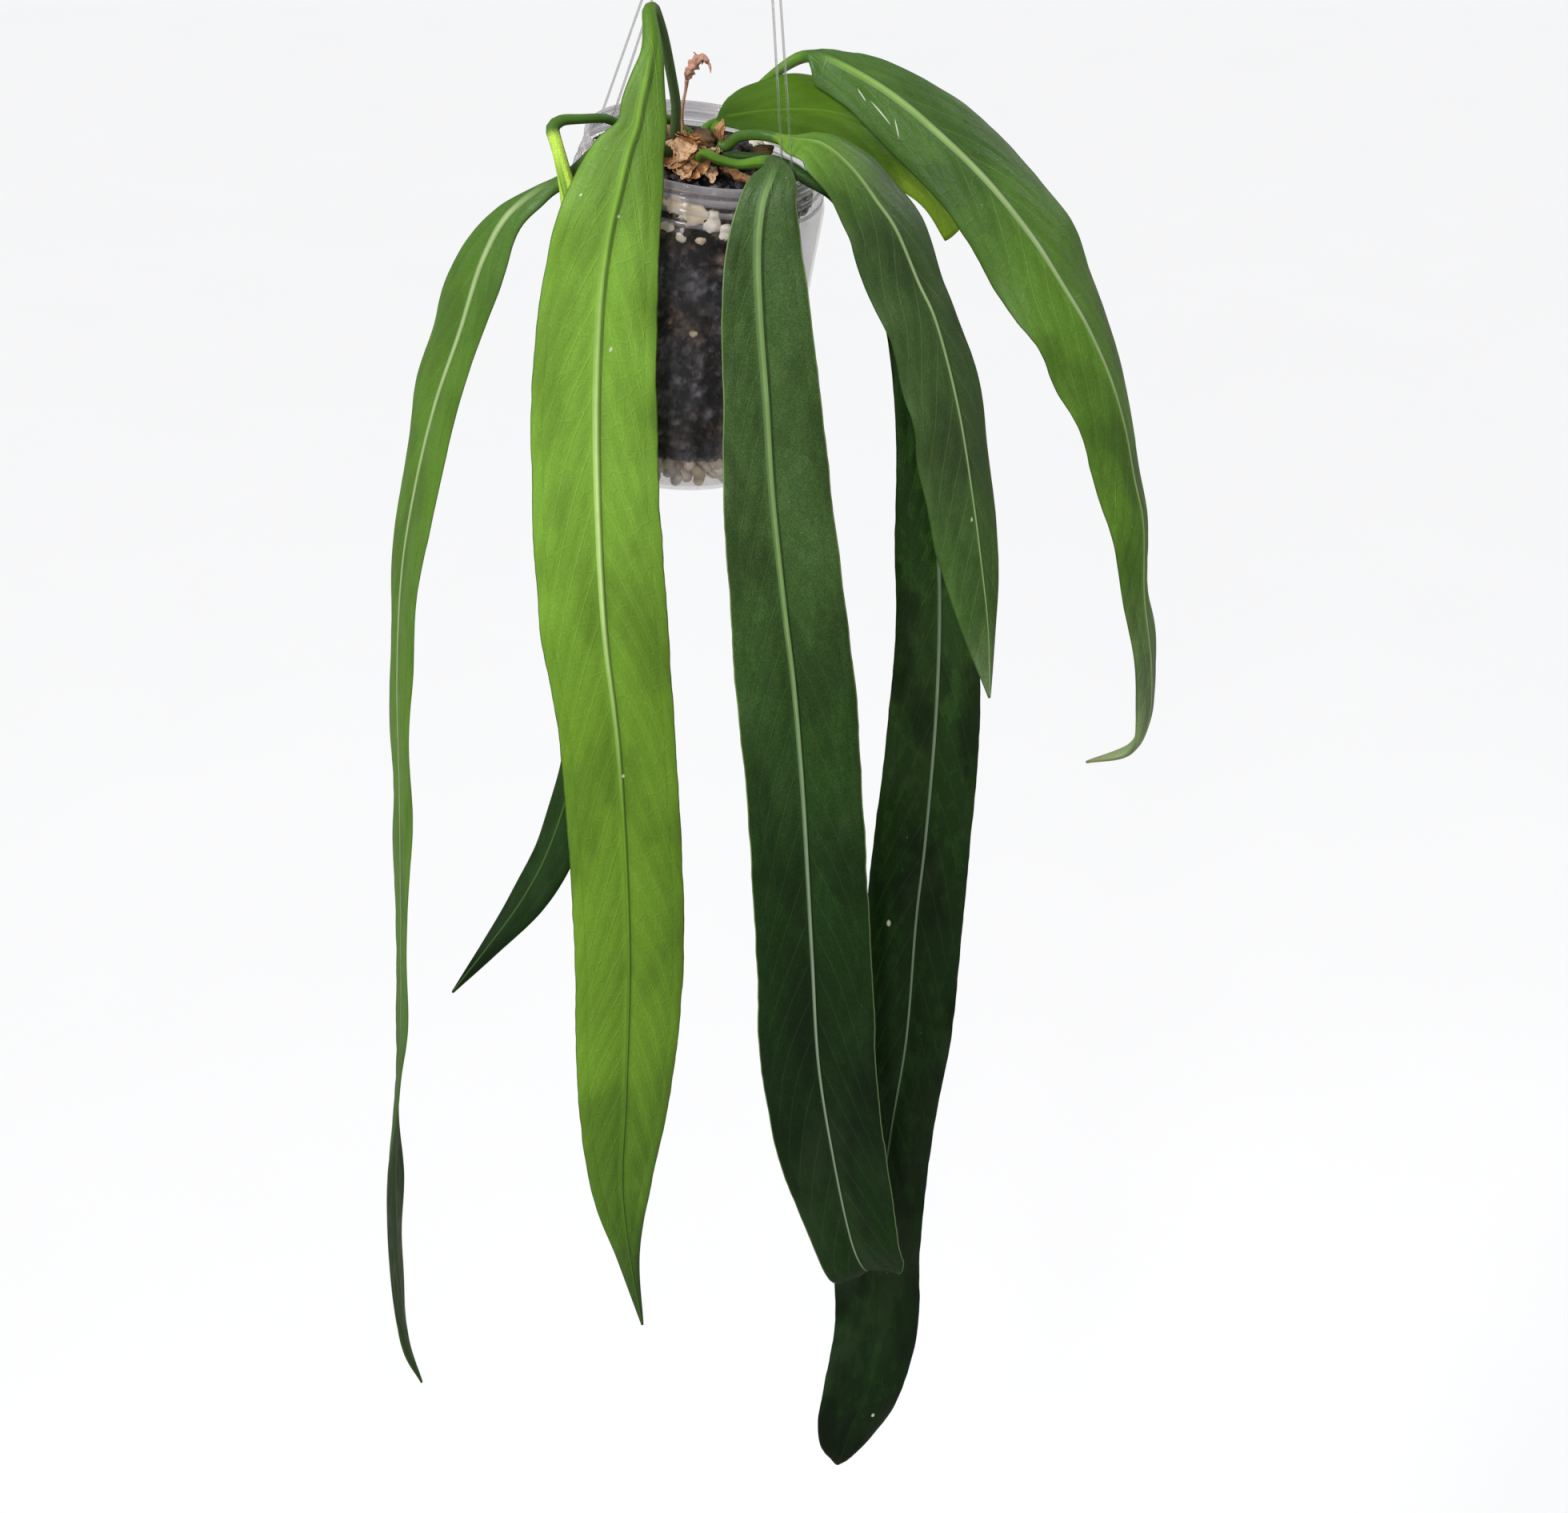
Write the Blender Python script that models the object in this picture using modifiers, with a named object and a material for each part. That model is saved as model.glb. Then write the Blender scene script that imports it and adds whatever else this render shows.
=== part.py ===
"""Strap-leaved aroid in a clear hanging pot: the pot hangs tilted under its leaves, on two clear cords.

Metres, +Z up. The origin is the inside top of the hook, where a rail or a peg carries it.
X runs to the right and Y to the back of the plant. Lengths below are millimetres, turned by MM.
"""
import math

import bmesh
import bpy
import numpy as np
from mathutils import Matrix, Vector

MM = 0.001
GAP = 0.3

# The pot and the plant are given in the plant's own frame, and its origin is moved here.
PLANT_AT = (7, 1, 50)

# Pot: its own frame has the lip's centre as origin, and it hangs tilted to the right and to the front.
POT_CENTRE = (-25, 0, -250)
POT_ROLL = 8.5
POT_PITCH = 6
POT_HEIGHT = 165
POT_WALL = 1.2
LIP_RADIUS = 60
LIP_DEPTH = 3.6
LIP_ROUND = 0.9
NECK_RADIUS = 58.6
BEAD_DEPTHS = (7.5, 13, 19)
BEAD_RADII = (60.4, 62, 63.6)
BEAD_HEIGHT = 1.2
BEAD_RISE = 0.9
SHOULDER_RADIUS = 65
SHOULDER_DEPTH = 24
FOOT_RADIUS = 61.5
FOOT_ROUND = 5
POT_SIDES = 48

SUBSTRATE_DEPTH = 12
PEBBLE_LAYER = 16

# Hanger: each cord goes through a hole under the lip and both its ends run up to the hook's hub.
CORD_DIAMETER = 1.3
HOLE_DIAMETER = 3.4
HOLE_DEPTH = 5.6
HOLE_SIDES = 12
HOLE_CUT = 8
HOLE_ANGLES = {"left": 147, "right": -43}
CORD_OUTSIDE = 62.4
CORD_INSIDE = 55.6
CORD_BEND = 2.6
HOOK_INNER_RADIUS = 14
HOOK_WIRE = 4
HOOK_START = -75
HOOK_END = 195
HOOK_STEP = 15
SHANK_IN_HUB = 9
SHANK_RISE = 1
# The hub's radius and height, from its neck down to the rim of its plate.
HUB = [(5, -29), (8, -36), (18.2, -37.4), (19, -38.2), (19, -41.2), (18.2, -42)]
HUB_SIDES = 32
CORD_END_ANGLES = {"left": 148, "right": -31}
CORD_END_RADII = (17, 13.6)

# Crown: a short upright stem in the pot's own frame, which carries every petiole.
STEM_PLACE = (-1, 3)
STEM_RADIUS = 8
STEM_HEIGHT = 18
STEM_SIDES = 24
STEM_SWELL = 1.08
STEM_TAPER = 0.16
STEM_SHOULDER = 0.85
STEM_TOP = 0.8
STEM_CLEARANCE = 0.45
PETIOLE_STEP = 4.8

# A petiole's rows are x, y, z and its radius; it grows from the stem at an angle and a height.
# A blade's rows are x, y, z of the midrib, the half-widths left and right of it in the front view,
# the way its right half points (degrees from +X) and how far that half dips. Fold bends both halves back.
LEAVES = {
    "leaf_front_left": {
        "angle": 185,
        "height": 12,
        "petiole": [(-39.3, -2, -243, 2.6), (-38.4, -8, -229, 2.5), (-40.5, -16, -210, 2.5),
                    (-43.3, -26, -191, 2.6), (-46.2, -35, -178.5, 2.9), (-47.6, -40, -175, 3.3)],
        "blade": [(-49, -45, -175.5, 3.4, 3.5, 0, 0), (-48.4, -52, -182, 3.6, 4.5, 0, 0),
                  (-48.2, -60, -191, 4.6, 6.3, 0, 0), (-50, -66, -201, 7.3, 8.8, 0, 0),
                  (-52.7, -71, -212, 9, 12.4, 0, 0), (-55, -75, -223, 9.6, 15, 0, 0),
                  (-59, -79, -234, 17, 17.8, 0, 0), (-63.4, -84, -251, 23, 21.3, -2, 0),
                  (-69, -88, -274, 26.5, 25, -4, 0), (-74, -91, -312, 30, 28, -4, 0),
                  (-77, -94, -377, 33, 30, -4, 0), (-76, -96, -466, 33, 32, -3, 0),
                  (-70, -96, -547, 30.5, 29.5, 0, 0), (-68, -94, -657, 29, 30, 4, 0),
                  (-72, -90, -751, 26.5, 26, 6, 0), (-76, -87, -817, 18, 17, 8, 0),
                  (-73, -84, -869, 7.5, 6, 8, 0), (-67, -80, -920, 0.7, 0.7, 8, 0)],
        "fold": 3,
        "colour": (0.16, 0.33, 0.05),
    },
    "leaf_far_left": {
        "angle": 222,
        "height": 5,
        "petiole": [(-46, -14, -249, 2.7), (-56, -27, -242, 2.6), (-67, -38, -239, 2.6),
                    (-76, -44, -242, 2.8), (-85, -43, -251, 3.2)],
        "blade": [(-93, -41, -258, 4, 4, -35, 0), (-105, -42, -264, 5, 8, -38, 0),
                  (-121, -42, -277, 10, 11, -42, 0), (-134, -41, -299, 18, 17, -48, 0),
                  (-147, -38, -336, 27.5, 18, -54, 0), (-162, -35, -376, 26, 20, -58, 0),
                  (-175, -32, -422, 20, 23, -61, 0), (-185, -30, -471, 18, 25, -65, 0),
                  (-191, -30, -532, 19, 24, -69, 0), (-194, -30, -604, 21, 24, -71, 0),
                  (-198, -30, -679, 22, 20, -74, 0), (-203, -30, -758, 21, 19, -78, 0),
                  (-209, -30, -807, 19, 18, -88, 0), (-213, -30, -862, 15, 15, -100, 0),
                  (-215, -30, -926, 11, 11, -98, 0), (-213, -30, -973, 6, 6, -88, 0),
                  (-205, -30, -1002, 0.7, 0.7, -80, 0)],
        "fold": 0,
        "colour": (0.07, 0.18, 0.06),
    },
    "leaf_left_behind": {
        "angle": 132,
        "height": 12,
        "petiole": [(-42, 11, -241, 2.4), (-52, 3, -238.5, 2.2), (-64.9, -12, -237, 2.2),
                    (-73, -24, -231.5, 2.3), (-84, -33, -229.5, 2.4), (-93, -38, -229, 2.8),
                    (-97, -41, -232, 3.4)],
        "blade": [(-95.5, -46, -237, 3.2, 3.2, -35, 0), (-93, -52, -244, 3.2, 3.4, -35, 0),
                  (-89, -57, -261, 5, 5, -25, 0), (-84, -60, -294, 9.9, 10, -15, 0),
                  (-81, -61, -334, 14.5, 15, -10, 0), (-82, -61, -389, 17.5, 17, -10, 0),
                  (-86, -61, -450, 16.5, 18, -12, 0), (-91, -60, -513, 12, 19, -16, 0),
                  (-95, -60, -565, 9.5, 18, -22, 0), (-109, -60, -613, 9.7, 15, -28, 0),
                  (-125, -60, -647, 9, 12.5, -30, 0), (-146, -60, -679, 5.6, 5.8, -30, 0),
                  (-168, -60, -708, 0.7, 0.7, -30, 0)],
        "fold": 10,
        "colour": (0.02, 0.06, 0.02),
    },
    "leaf_front_dark": {
        "angle": 262,
        "height": 5,
        "petiole": [(-24, -20, -250, 2.6), (-17, -33, -249.5, 2.4), (-7, -42, -249.5, 2.4),
                    (1, -47, -247.5, 3), (6, -51, -246, 3.4)],
        "blade": [(10, -55, -245.5, 4, 4.5, 0, 0), (10, -62, -247, 6.5, 9, 0, 0),
                  (8, -68, -251, 9.5, 14, 0, 0), (4, -74, -261, 11, 18, 0, 0),
                  (2, -78, -282, 15, 22, 0, 0), (3, -81, -314, 18.5, 25.5, 0, 0),
                  (6, -83, -356, 21, 27.5, 0, 0), (9, -85, -405, 24.5, 30, 0, 0),
                  (15, -87, -465, 27.5, 31.5, 0, 0), (20, -88, -509, 30, 32, 0, 0),
                  (25, -89, -574, 29.5, 31.5, 0, 0), (30, -90, -666, 30, 32.5, -4, 0),
                  (34, -90, -736, 32, 33, -8, 0), (43, -90, -800, 30, 31, -10, 0),
                  (53, -90, -853, 23, 28, -8, -8), (61, -86, -876, 21, 25, -4, -18),
                  (67, -78, -879, 15, 19, 0, -22), (73, -72, -873, 8, 10, 0, -24),
                  (78, -69, -866, 0.8, 0.8, 0, -24)],
        "fold": 4,
        "colour": (0.025, 0.07, 0.025),
    },
    "leaf_right": {
        "angle": -15,
        "height": 12,
        "petiole": [(-8, -3, -246, 2.8), (-1, -9, -243.5, 2.6), (6, -14, -242.5, 2.7)],
        "blade": [(13, -17, -243.5, 3.2, 3.2, 78, -8), (19, -22, -243.5, 8, 9, 76, -10),
                  (25, -27, -242, 12.5, 15, 72, -13), (32, -30, -242, 16.5, 18, 67, -16),
                  (40, -34, -246, 19.5, 22, 60, -16), (50, -38, -255, 20, 26, 54, -14),
                  (60, -41, -268, 22.5, 26, 48, -10), (70, -44, -282, 25.5, 24, 44, -8),
                  (81, -47, -307, 26, 20, 38, -4), (91, -50, -329, 26.5, 19, 36, 0),
                  (103, -53, -374, 25.5, 20, 34, 0), (112, -55, -425, 25, 17, 32, 0),
                  (116, -56, -453, 21, 13, 30, 0), (120, -56, -489, 14, 6.5, 28, 0),
                  (123, -56, -530, 0.7, 0.7, 24, 0)],
        "fold": 14,
        "colour": (0.06, 0.16, 0.04),
    },
    "leaf_lowest": {
        "angle": -58,
        "height": 5,
        "petiole": [(-13, -13, -253.5, 2.7), (-1, -20, -252, 2.6), (11, -26, -252, 2.6),
                    (19, -32, -254, 2.8), (25.5, -37.5, -257.5, 3.2)],
        "blade": [(39, -39.5, -265, 3.2, 3, 14, 0), (48, -36.5, -277, 4.4, 5, 14, 0),
                  (60, -31.5, -296, 7.4, 8.5, 14, 0), (72, -28, -319, 11, 12, 14, 0),
                  (81, -27, -345, 13, 16, 14, 0), (89, -29, -401, 17, 18, 12, 0),
                  (95, -31, -453, 22, 19.5, 8, 0), (97, -33, -499, 23, 21, 4, 0),
                  (96, -36, -558, 25.5, 24.5, 0, 0), (92, -38, -627, 28, 25, 0, 0),
                  (88, -40, -674, 27.5, 26.5, 0, 0), (84, -42, -749, 26, 25.5, 0, 0),
                  (76, -42, -815, 25, 25, 0, 0), (69, -42, -894, 24, 26, 0, 0),
                  (69, -42, -952, 24, 26, 0, 0), (63, -42, -1000, 24, 21.5, 0, 0),
                  (56, -42, -1027, 21.5, 16.5, 0, 0), (50, -42, -1047, 13, 7, 0, 0),
                  (47, -42, -1054, 2, 2, 0, 0)],
        "fold": 4,
        "colour": (0.02, 0.055, 0.025),
    },
    "leaf_back_right": {
        "angle": 54,
        "height": 12,
        "petiole": [(-19.5, 14, -246, 2.7)],
        "blade": [(-17, 14.5, -243, 4, 4.5, 76, -24), (-12.5, 16.5, -241.6, 9, 10, 76, -24),
                  (-7, 19, -240.6, 13.5, 16.5, 75, -26), (1, 22, -240, 17, 23.5, 74, -26),
                  (13, 26, -240, 20, 28, 73, -26), (27, 31, -241, 22, 29.5, 71, -26),
                  (41.5, 36, -244, 22.5, 28, 69, -20), (57, 42, -251.5, 22, 25, 65, -14),
                  (70.5, 46, -263, 19, 21, 60, -8), (83.5, 48, -278, 14, 17, 54, -3),
                  (94, 49, -293, 9.5, 14, 50, 0), (103.5, 49, -311, 6.5, 10, 48, 0)],
        "fold": 8,
        "colour": (0.25, 0.4, 0.03),
    },
    "leaf_far_right": {
        "angle": 91,
        "height": 11,
        "petiole": [(-22, 24, -247, 2.7), (-13.3, 30, -245, 2.6), (-6, 40, -241, 2.5),
                    (1, 51, -235.5, 2.5), (11, 60, -228.5, 2.6), (22, 60, -221.5, 3.2)],
        "blade": [(29, 55, -219, 3.8, 3.8, 34, -20), (35, 52, -219, 13.5, 13.5, 34, -20),
                  (45, 48, -222.5, 16, 16, 35, -22), (62.5, 44, -231.5, 19.4, 20.5, 36, -26),
                  (77.5, 39, -241, 21.5, 23.5, 34, -28), (91, 34, -251.5, 23, 27, 31, -28),
                  (108, 29, -266, 24.5, 29, 30, -26), (125.5, 24, -283.5, 26.6, 30.5, 32, -24),
                  (145, 20, -307.5, 29.6, 33.5, 37, -20), (160, 16, -330, 31, 35.5, 44, -14),
                  (172, 13, -349, 30.5, 35, 49, -10), (185, 10, -376, 31.5, 33.5, 55, -4),
                  (194, 8, -403, 30, 30.5, 59, 0), (200, 5, -430, 25, 24, 60, 0),
                  (206, 2, -456, 22.7, 19, 60, 0), (208, -2, -493, 16, 16, 54, 0),
                  (213, -5, -534, 10.8, 10.8, 52, 0), (213, -7, -565, 8.6, 8.6, 56, 0),
                  (205, -8, -584, 6.2, 6.2, 72, 0), (181, -10, -591, 0.7, 0.7, 95, 0)],
        "fold": 20,
        "colour": (0.07, 0.18, 0.05),
    },
}

RING_SPACING = 22
SIDE_THICKNESS = 0.45
MIDRIB_THICKNESS = 1.1
FLATTENING = 12
SHOULDER = 0.75
QUARTER_WIDTH = 0.6
THINNEST_EDGE = 0.6
THINNEST = 0.5

# Papery dried sheaths on the stem's side: the angle and height they grow from, half-width, rise and lean.
SHEATHS = {
    "dried_sheath_front": (238, 12, 5.5, 8, 11),
    "dried_sheath_left": (206, 0.5, 2.4, 2.5, 5),
    "dried_sheath_right": (21, 8, 3.4, 15, 3),
    "dried_sheath_back": (285, 9, 4.5, 6, 13),
}
# Each ring: its share of the rise, of the half-width and of the lean.
SHEATH_SHAPE = ((0, 0.8, 0), (0.35, 1, 0.15), (0.7, 0.75, 0.5), (1, 0.15, 1))
SHEATH_THICKNESS = 0.5
SHEATH_CUP = 0.8

# Bark chips lying on the substrate in the pot's own frame: place, turn, and half-sizes of the chip.
BARK_CHIPS = {
    "bark_chip_left": ((-38, 8), 25, (11, 7, 4)),
    "bark_chip_back": ((-14, 34), -15, (12, 6, 4.5)),
    "bark_chip_front": ((-30, -24), 60, (8, 6, 3.5)),
    "bark_chip_right": ((30, 22), 40, (9, 7, 4)),
}
# The corner cut on the chip's unit cube, before it takes its size.
CHIP_CUT = 0.45

# Dried flower stalk with its shrivelled head: x, y, z and radius.
FLOWER_ANGLE = 156
FLOWER_HEIGHT = 7
FLOWER_STEP = 2.4
FLOWER = [(-35.8, 7.5, -244, 0.9), (-36, 6, -238, 0.8), (-35.1, 4, -230, 0.8), (-33.8, 3, -223.5, 0.8),
          (-33, 2.5, -218.5, 1.2), (-31.7, 2, -215, 2.4), (-30, 2, -211.5, 3), (-27.5, 2, -209, 2.6),
          (-24.8, 2, -208, 2.2), (-22.7, 2, -210.3, 1.2)]
TUBE_SIDES = 8


def clear_scene():
    for obj in list(bpy.data.objects):
        bpy.data.objects.remove(obj, do_unlink=True)


def new_collection(name):
    collection = bpy.data.collections.new(name)
    bpy.context.scene.collection.children.link(collection)
    return collection


def material(name, colour, roughness, transmission=0.0):
    made = bpy.data.materials.new(name)
    made.use_nodes = True
    shader = made.node_tree.nodes["Principled BSDF"]
    shader.inputs["Base Color"].default_value = (*colour, 1)
    shader.inputs["Roughness"].default_value = roughness
    shader.inputs["Transmission Weight"].default_value = transmission
    return made


def add_object(name, mesh, finish, collection):
    obj = bpy.data.objects.new(name, mesh)
    mesh.materials.append(finish)
    collection.objects.link(obj)
    return obj


def pot_frame():
    """The pot's own frame in the world, millimetres."""
    turn = Matrix.Rotation(math.radians(POT_PITCH), 4, "X") @ Matrix.Rotation(math.radians(POT_ROLL), 4, "Y")
    return Matrix.Translation(Vector(POT_CENTRE) + Vector(PLANT_AT)) @ turn


def in_pot(x, y, z):
    return pot_frame() @ Vector((x, y, z))


def under_hook(rows):
    """Rows of the plant's own frame, moved to where the plant hangs."""
    return [(*np.add(row[:3], PLANT_AT), *row[3:]) for row in rows]


def turned(name, profile, finish, collection, sides=POT_SIDES):
    """A body turned round the pot's axis from (radius, height) points, listed down the outer side."""
    mesh = bpy.data.meshes.new(name)
    points = [(r * MM, 0, z * MM) for r, z in profile]
    edges = [(i, i + 1) for i in range(len(points) - 1)]
    closed_ring = profile[0][0] > 0 and profile[-1][0] > 0
    if closed_ring:
        edges.append((len(points) - 1, 0))
    mesh.from_pydata(points, edges, [])
    obj = add_object(name, mesh, finish, collection)
    screw = obj.modifiers.new("turn", "SCREW")
    screw.steps = sides
    screw.render_steps = sides
    screw.use_merge_vertices = True
    screw.merge_threshold = 0.0001
    frame = pot_frame()
    frame.translation *= MM
    obj.matrix_world = frame
    return obj


def wall_radius(depth):
    """The pot's outer radius between the shoulder and the foot, at a depth under the lip."""
    share = (depth - SHOULDER_DEPTH) / (POT_HEIGHT - SHOULDER_DEPTH)
    return SHOULDER_RADIUS + (FOOT_RADIUS - SHOULDER_RADIUS) * share


def outer_profile():
    points = [(LIP_RADIUS - LIP_ROUND, 0), (LIP_RADIUS, -LIP_ROUND), (LIP_RADIUS, -LIP_DEPTH + LIP_ROUND),
              (NECK_RADIUS, -LIP_DEPTH)]
    for depth, radius in zip(BEAD_DEPTHS, BEAD_RADII):
        points.append((radius - BEAD_RISE, -depth + BEAD_HEIGHT))
        points.append((radius, -depth))
        points.append((radius - BEAD_RISE / 2, -depth - BEAD_HEIGHT))
    points.append((SHOULDER_RADIUS, -SHOULDER_DEPTH))
    middle = (SHOULDER_DEPTH + POT_HEIGHT) / 2
    points.append((wall_radius(middle), -middle))
    points.append((FOOT_RADIUS, -POT_HEIGHT + FOOT_ROUND))
    for step in (30, 60, 90):
        turn = math.radians(step)
        points.append((FOOT_RADIUS - FOOT_ROUND * (1 - math.cos(turn)),
                       -POT_HEIGHT + FOOT_ROUND * (1 - math.sin(turn))))
    points.append((0, -POT_HEIGHT))
    return points


def inner_radius(depth):
    """The pot's inner radius at a depth, a wall inside the neck, the shoulder or the wall."""
    if depth <= SHOULDER_DEPTH:
        share = max(0, depth - LIP_DEPTH) / (SHOULDER_DEPTH - LIP_DEPTH)
        outer = NECK_RADIUS + (SHOULDER_RADIUS - NECK_RADIUS) * share
    else:
        outer = wall_radius(depth)
    return outer - POT_WALL


def inner_profile():
    """The inner side from the floor's centre up to the lip."""
    floor = POT_HEIGHT - POT_WALL
    points = [(0, -floor), (inner_radius(floor) - FOOT_ROUND, -floor),
              (inner_radius(floor) - FOOT_ROUND / 3, -floor + FOOT_ROUND / 3),
              (inner_radius(floor - FOOT_ROUND), -floor + FOOT_ROUND)]
    points.append((inner_radius(SHOULDER_DEPTH), -SHOULDER_DEPTH))
    points.append((inner_radius(LIP_DEPTH), -LIP_DEPTH))
    points.append((inner_radius(0), -LIP_ROUND / 2))
    return points


def pot(collection, cutters):
    clear = material("clear_plastic", (0.85, 0.88, 0.9), 0.12, 0.9)
    obj = turned("pot", outer_profile() + inner_profile(), clear, collection)
    for side, angle in HOLE_ANGLES.items():
        hole = bpy.data.meshes.new("cord_hole_" + side)
        shape = bmesh.new()
        bmesh.ops.create_cone(shape, cap_ends=True, segments=HOLE_SIDES, radius1=HOLE_DIAMETER / 2 * MM,
                              radius2=HOLE_DIAMETER / 2 * MM, depth=HOLE_CUT * MM)
        bmesh.ops.rotate(shape, verts=shape.verts, matrix=Matrix.Rotation(math.pi / 2, 3, "Y"))
        shape.to_mesh(hole)
        shape.free()
        cutter = bpy.data.objects.new("cord_hole_" + side, hole)
        cutters.objects.link(cutter)
        cutter.hide_render = True
        cutter.display_type = "WIRE"
        turn = math.radians(angle)
        frame = pot_frame()
        place = frame @ Vector((NECK_RADIUS * math.cos(turn), NECK_RADIUS * math.sin(turn), -HOLE_DEPTH))
        cutter.matrix_world = (Matrix.Translation(place * MM) @ frame.to_3x3().to_4x4()
                               @ Matrix.Rotation(turn, 4, "Z"))
        cut = obj.modifiers.new("hole_" + side, "BOOLEAN")
        cut.operation = "DIFFERENCE"
        cut.object = cutter
    return obj


def filling(collection):
    """The pebble layer on the pot's floor and the substrate over it, each a gap inside the wall."""
    floor = POT_HEIGHT - POT_WALL - GAP
    pebbles_top = floor - PEBBLE_LAYER
    stone = material("pale_pebbles", (0.55, 0.47, 0.38), 0.8)
    turned("drainage_pebbles", [
        (0, -pebbles_top),
        (inner_radius(pebbles_top) - GAP, -pebbles_top),
        (inner_radius(floor - FOOT_ROUND) - GAP, -floor + FOOT_ROUND),
        (inner_radius(floor) - FOOT_ROUND - GAP, -floor),
        (0, -floor)], stone, collection)
    soil_floor = pebbles_top - GAP
    soil = material("bark_substrate", (0.03, 0.02, 0.015), 0.95)
    turned("substrate", [
        (0, -SUBSTRATE_DEPTH),
        (inner_radius(SUBSTRATE_DEPTH) - GAP, -SUBSTRATE_DEPTH),
        (inner_radius(SHOULDER_DEPTH) - GAP, -SHOULDER_DEPTH),
        (inner_radius(soil_floor) - GAP, -soil_floor),
        (0, -soil_floor)], soil, collection)


def stem_radius(height):
    """The stem swells a little at its foot and is narrower over its shoulder."""
    share = height / STEM_HEIGHT
    if share < STEM_SHOULDER:
        return STEM_RADIUS * (STEM_SWELL - STEM_TAPER * share)
    return STEM_RADIUS * STEM_TOP


def crown_stem(collection):
    bark = material("corky_stem", (0.12, 0.08, 0.04), 0.9)
    base = -SUBSTRATE_DEPTH + GAP
    profile = [(0, base + STEM_HEIGHT), (STEM_RADIUS / 2, base + STEM_HEIGHT * 0.96)]
    for share in (STEM_SHOULDER - 0.01, 0.4, 0):
        profile.append((stem_radius(STEM_HEIGHT * share), base + STEM_HEIGHT * share))
    profile.append((0, base))
    obj = turned("crown_stem", profile, bark, collection, STEM_SIDES)
    shift = Matrix.Translation((STEM_PLACE[0] * MM, STEM_PLACE[1] * MM, 0))
    obj.matrix_world = obj.matrix_world @ shift
    return obj


def stem_point(angle, height, out):
    """A point that stands out from the stem's side, in world millimetres."""
    turn = math.radians(angle)
    radius = stem_radius(height) + out
    return in_pot(STEM_PLACE[0] + radius * math.cos(turn), STEM_PLACE[1] + radius * math.sin(turn),
                  -SUBSTRATE_DEPTH + GAP + height)


def smooth_rows(rows, spacing):
    """Rows of numbers on one smooth curve through the given rows, about evenly spaced."""
    rows = np.array(rows, float)
    ends = np.vstack([2 * rows[0] - rows[1], rows, 2 * rows[-1] - rows[-2]])
    out = []
    for i in range(1, len(ends) - 2):
        before, start, end, after = ends[i - 1:i + 3]
        length = np.linalg.norm(end[:3] - start[:3])
        steps = max(1, round(length / spacing))
        for t in np.arange(steps) / steps:
            out.append(0.5 * (2 * start + (end - before) * t
                              + (2 * before - 5 * start + 4 * end - after) * t ** 2
                              + (3 * start - before - 3 * end + after) * t ** 3))
    out.append(rows[-1])
    return np.array(out)


def tangents(points):
    along = np.gradient(points, axis=0)
    return along / np.linalg.norm(along, axis=1)[:, None]


def square_to(vector, tangent):
    flat = vector - tangent * np.dot(vector, tangent)
    return flat / np.linalg.norm(flat)


def side_vector(tangent, azimuth, dip):
    turn, drop = math.radians(azimuth), math.radians(dip)
    level = math.cos(drop)
    return square_to(np.array([math.cos(turn) * level, math.sin(turn) * level, -math.sin(drop)]), tangent)


def section(centre, tangent, side, left, right, fold, thickness):
    """Eight points round a leaf: a round petiole where it is narrow, a thin folded blade where it is wide."""
    up = np.cross(tangent, side)
    flat = min(1, max(0, (min(left, right) - thickness) / FLATTENING))
    middle = thickness + (MIDRIB_THICKNESS - thickness) * flat
    quarter = SHOULDER * thickness + (SIDE_THICKNESS - SHOULDER * thickness) * flat
    bend = math.radians(fold) * flat
    out = []
    for share, lift in ((-1, 0), (-QUARTER_WIDTH, quarter), (0, middle), (QUARTER_WIDTH, quarter),
                        (1, 0), (QUARTER_WIDTH, -quarter), (0, -middle), (-QUARTER_WIDTH, -quarter)):
        width = left if share < 0 else right
        reach = abs(share) * width
        out.append(centre + side * (math.copysign(reach, share) * math.cos(bend))
                   + up * (lift - reach * math.sin(bend)))
    return out


def loft(name, rings, finish, collection):
    """One closed body through rings of equally many points."""
    shape = bmesh.new()
    loops = [[shape.verts.new(Vector(p) * MM) for p in ring] for ring in rings]
    for first, second in zip(loops, loops[1:]):
        for i in range(len(first)):
            j = (i + 1) % len(first)
            shape.faces.new((first[i], first[j], second[j], second[i]))
    shape.faces.new(loops[0])
    shape.faces.new(reversed(loops[-1]))
    bmesh.ops.triangulate(shape, faces=shape.faces)
    bmesh.ops.recalc_face_normals(shape, faces=shape.faces)
    mesh = bpy.data.meshes.new(name)
    shape.to_mesh(mesh)
    shape.free()
    mesh.shade_smooth()
    return add_object(name, mesh, finish, collection)


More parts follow.
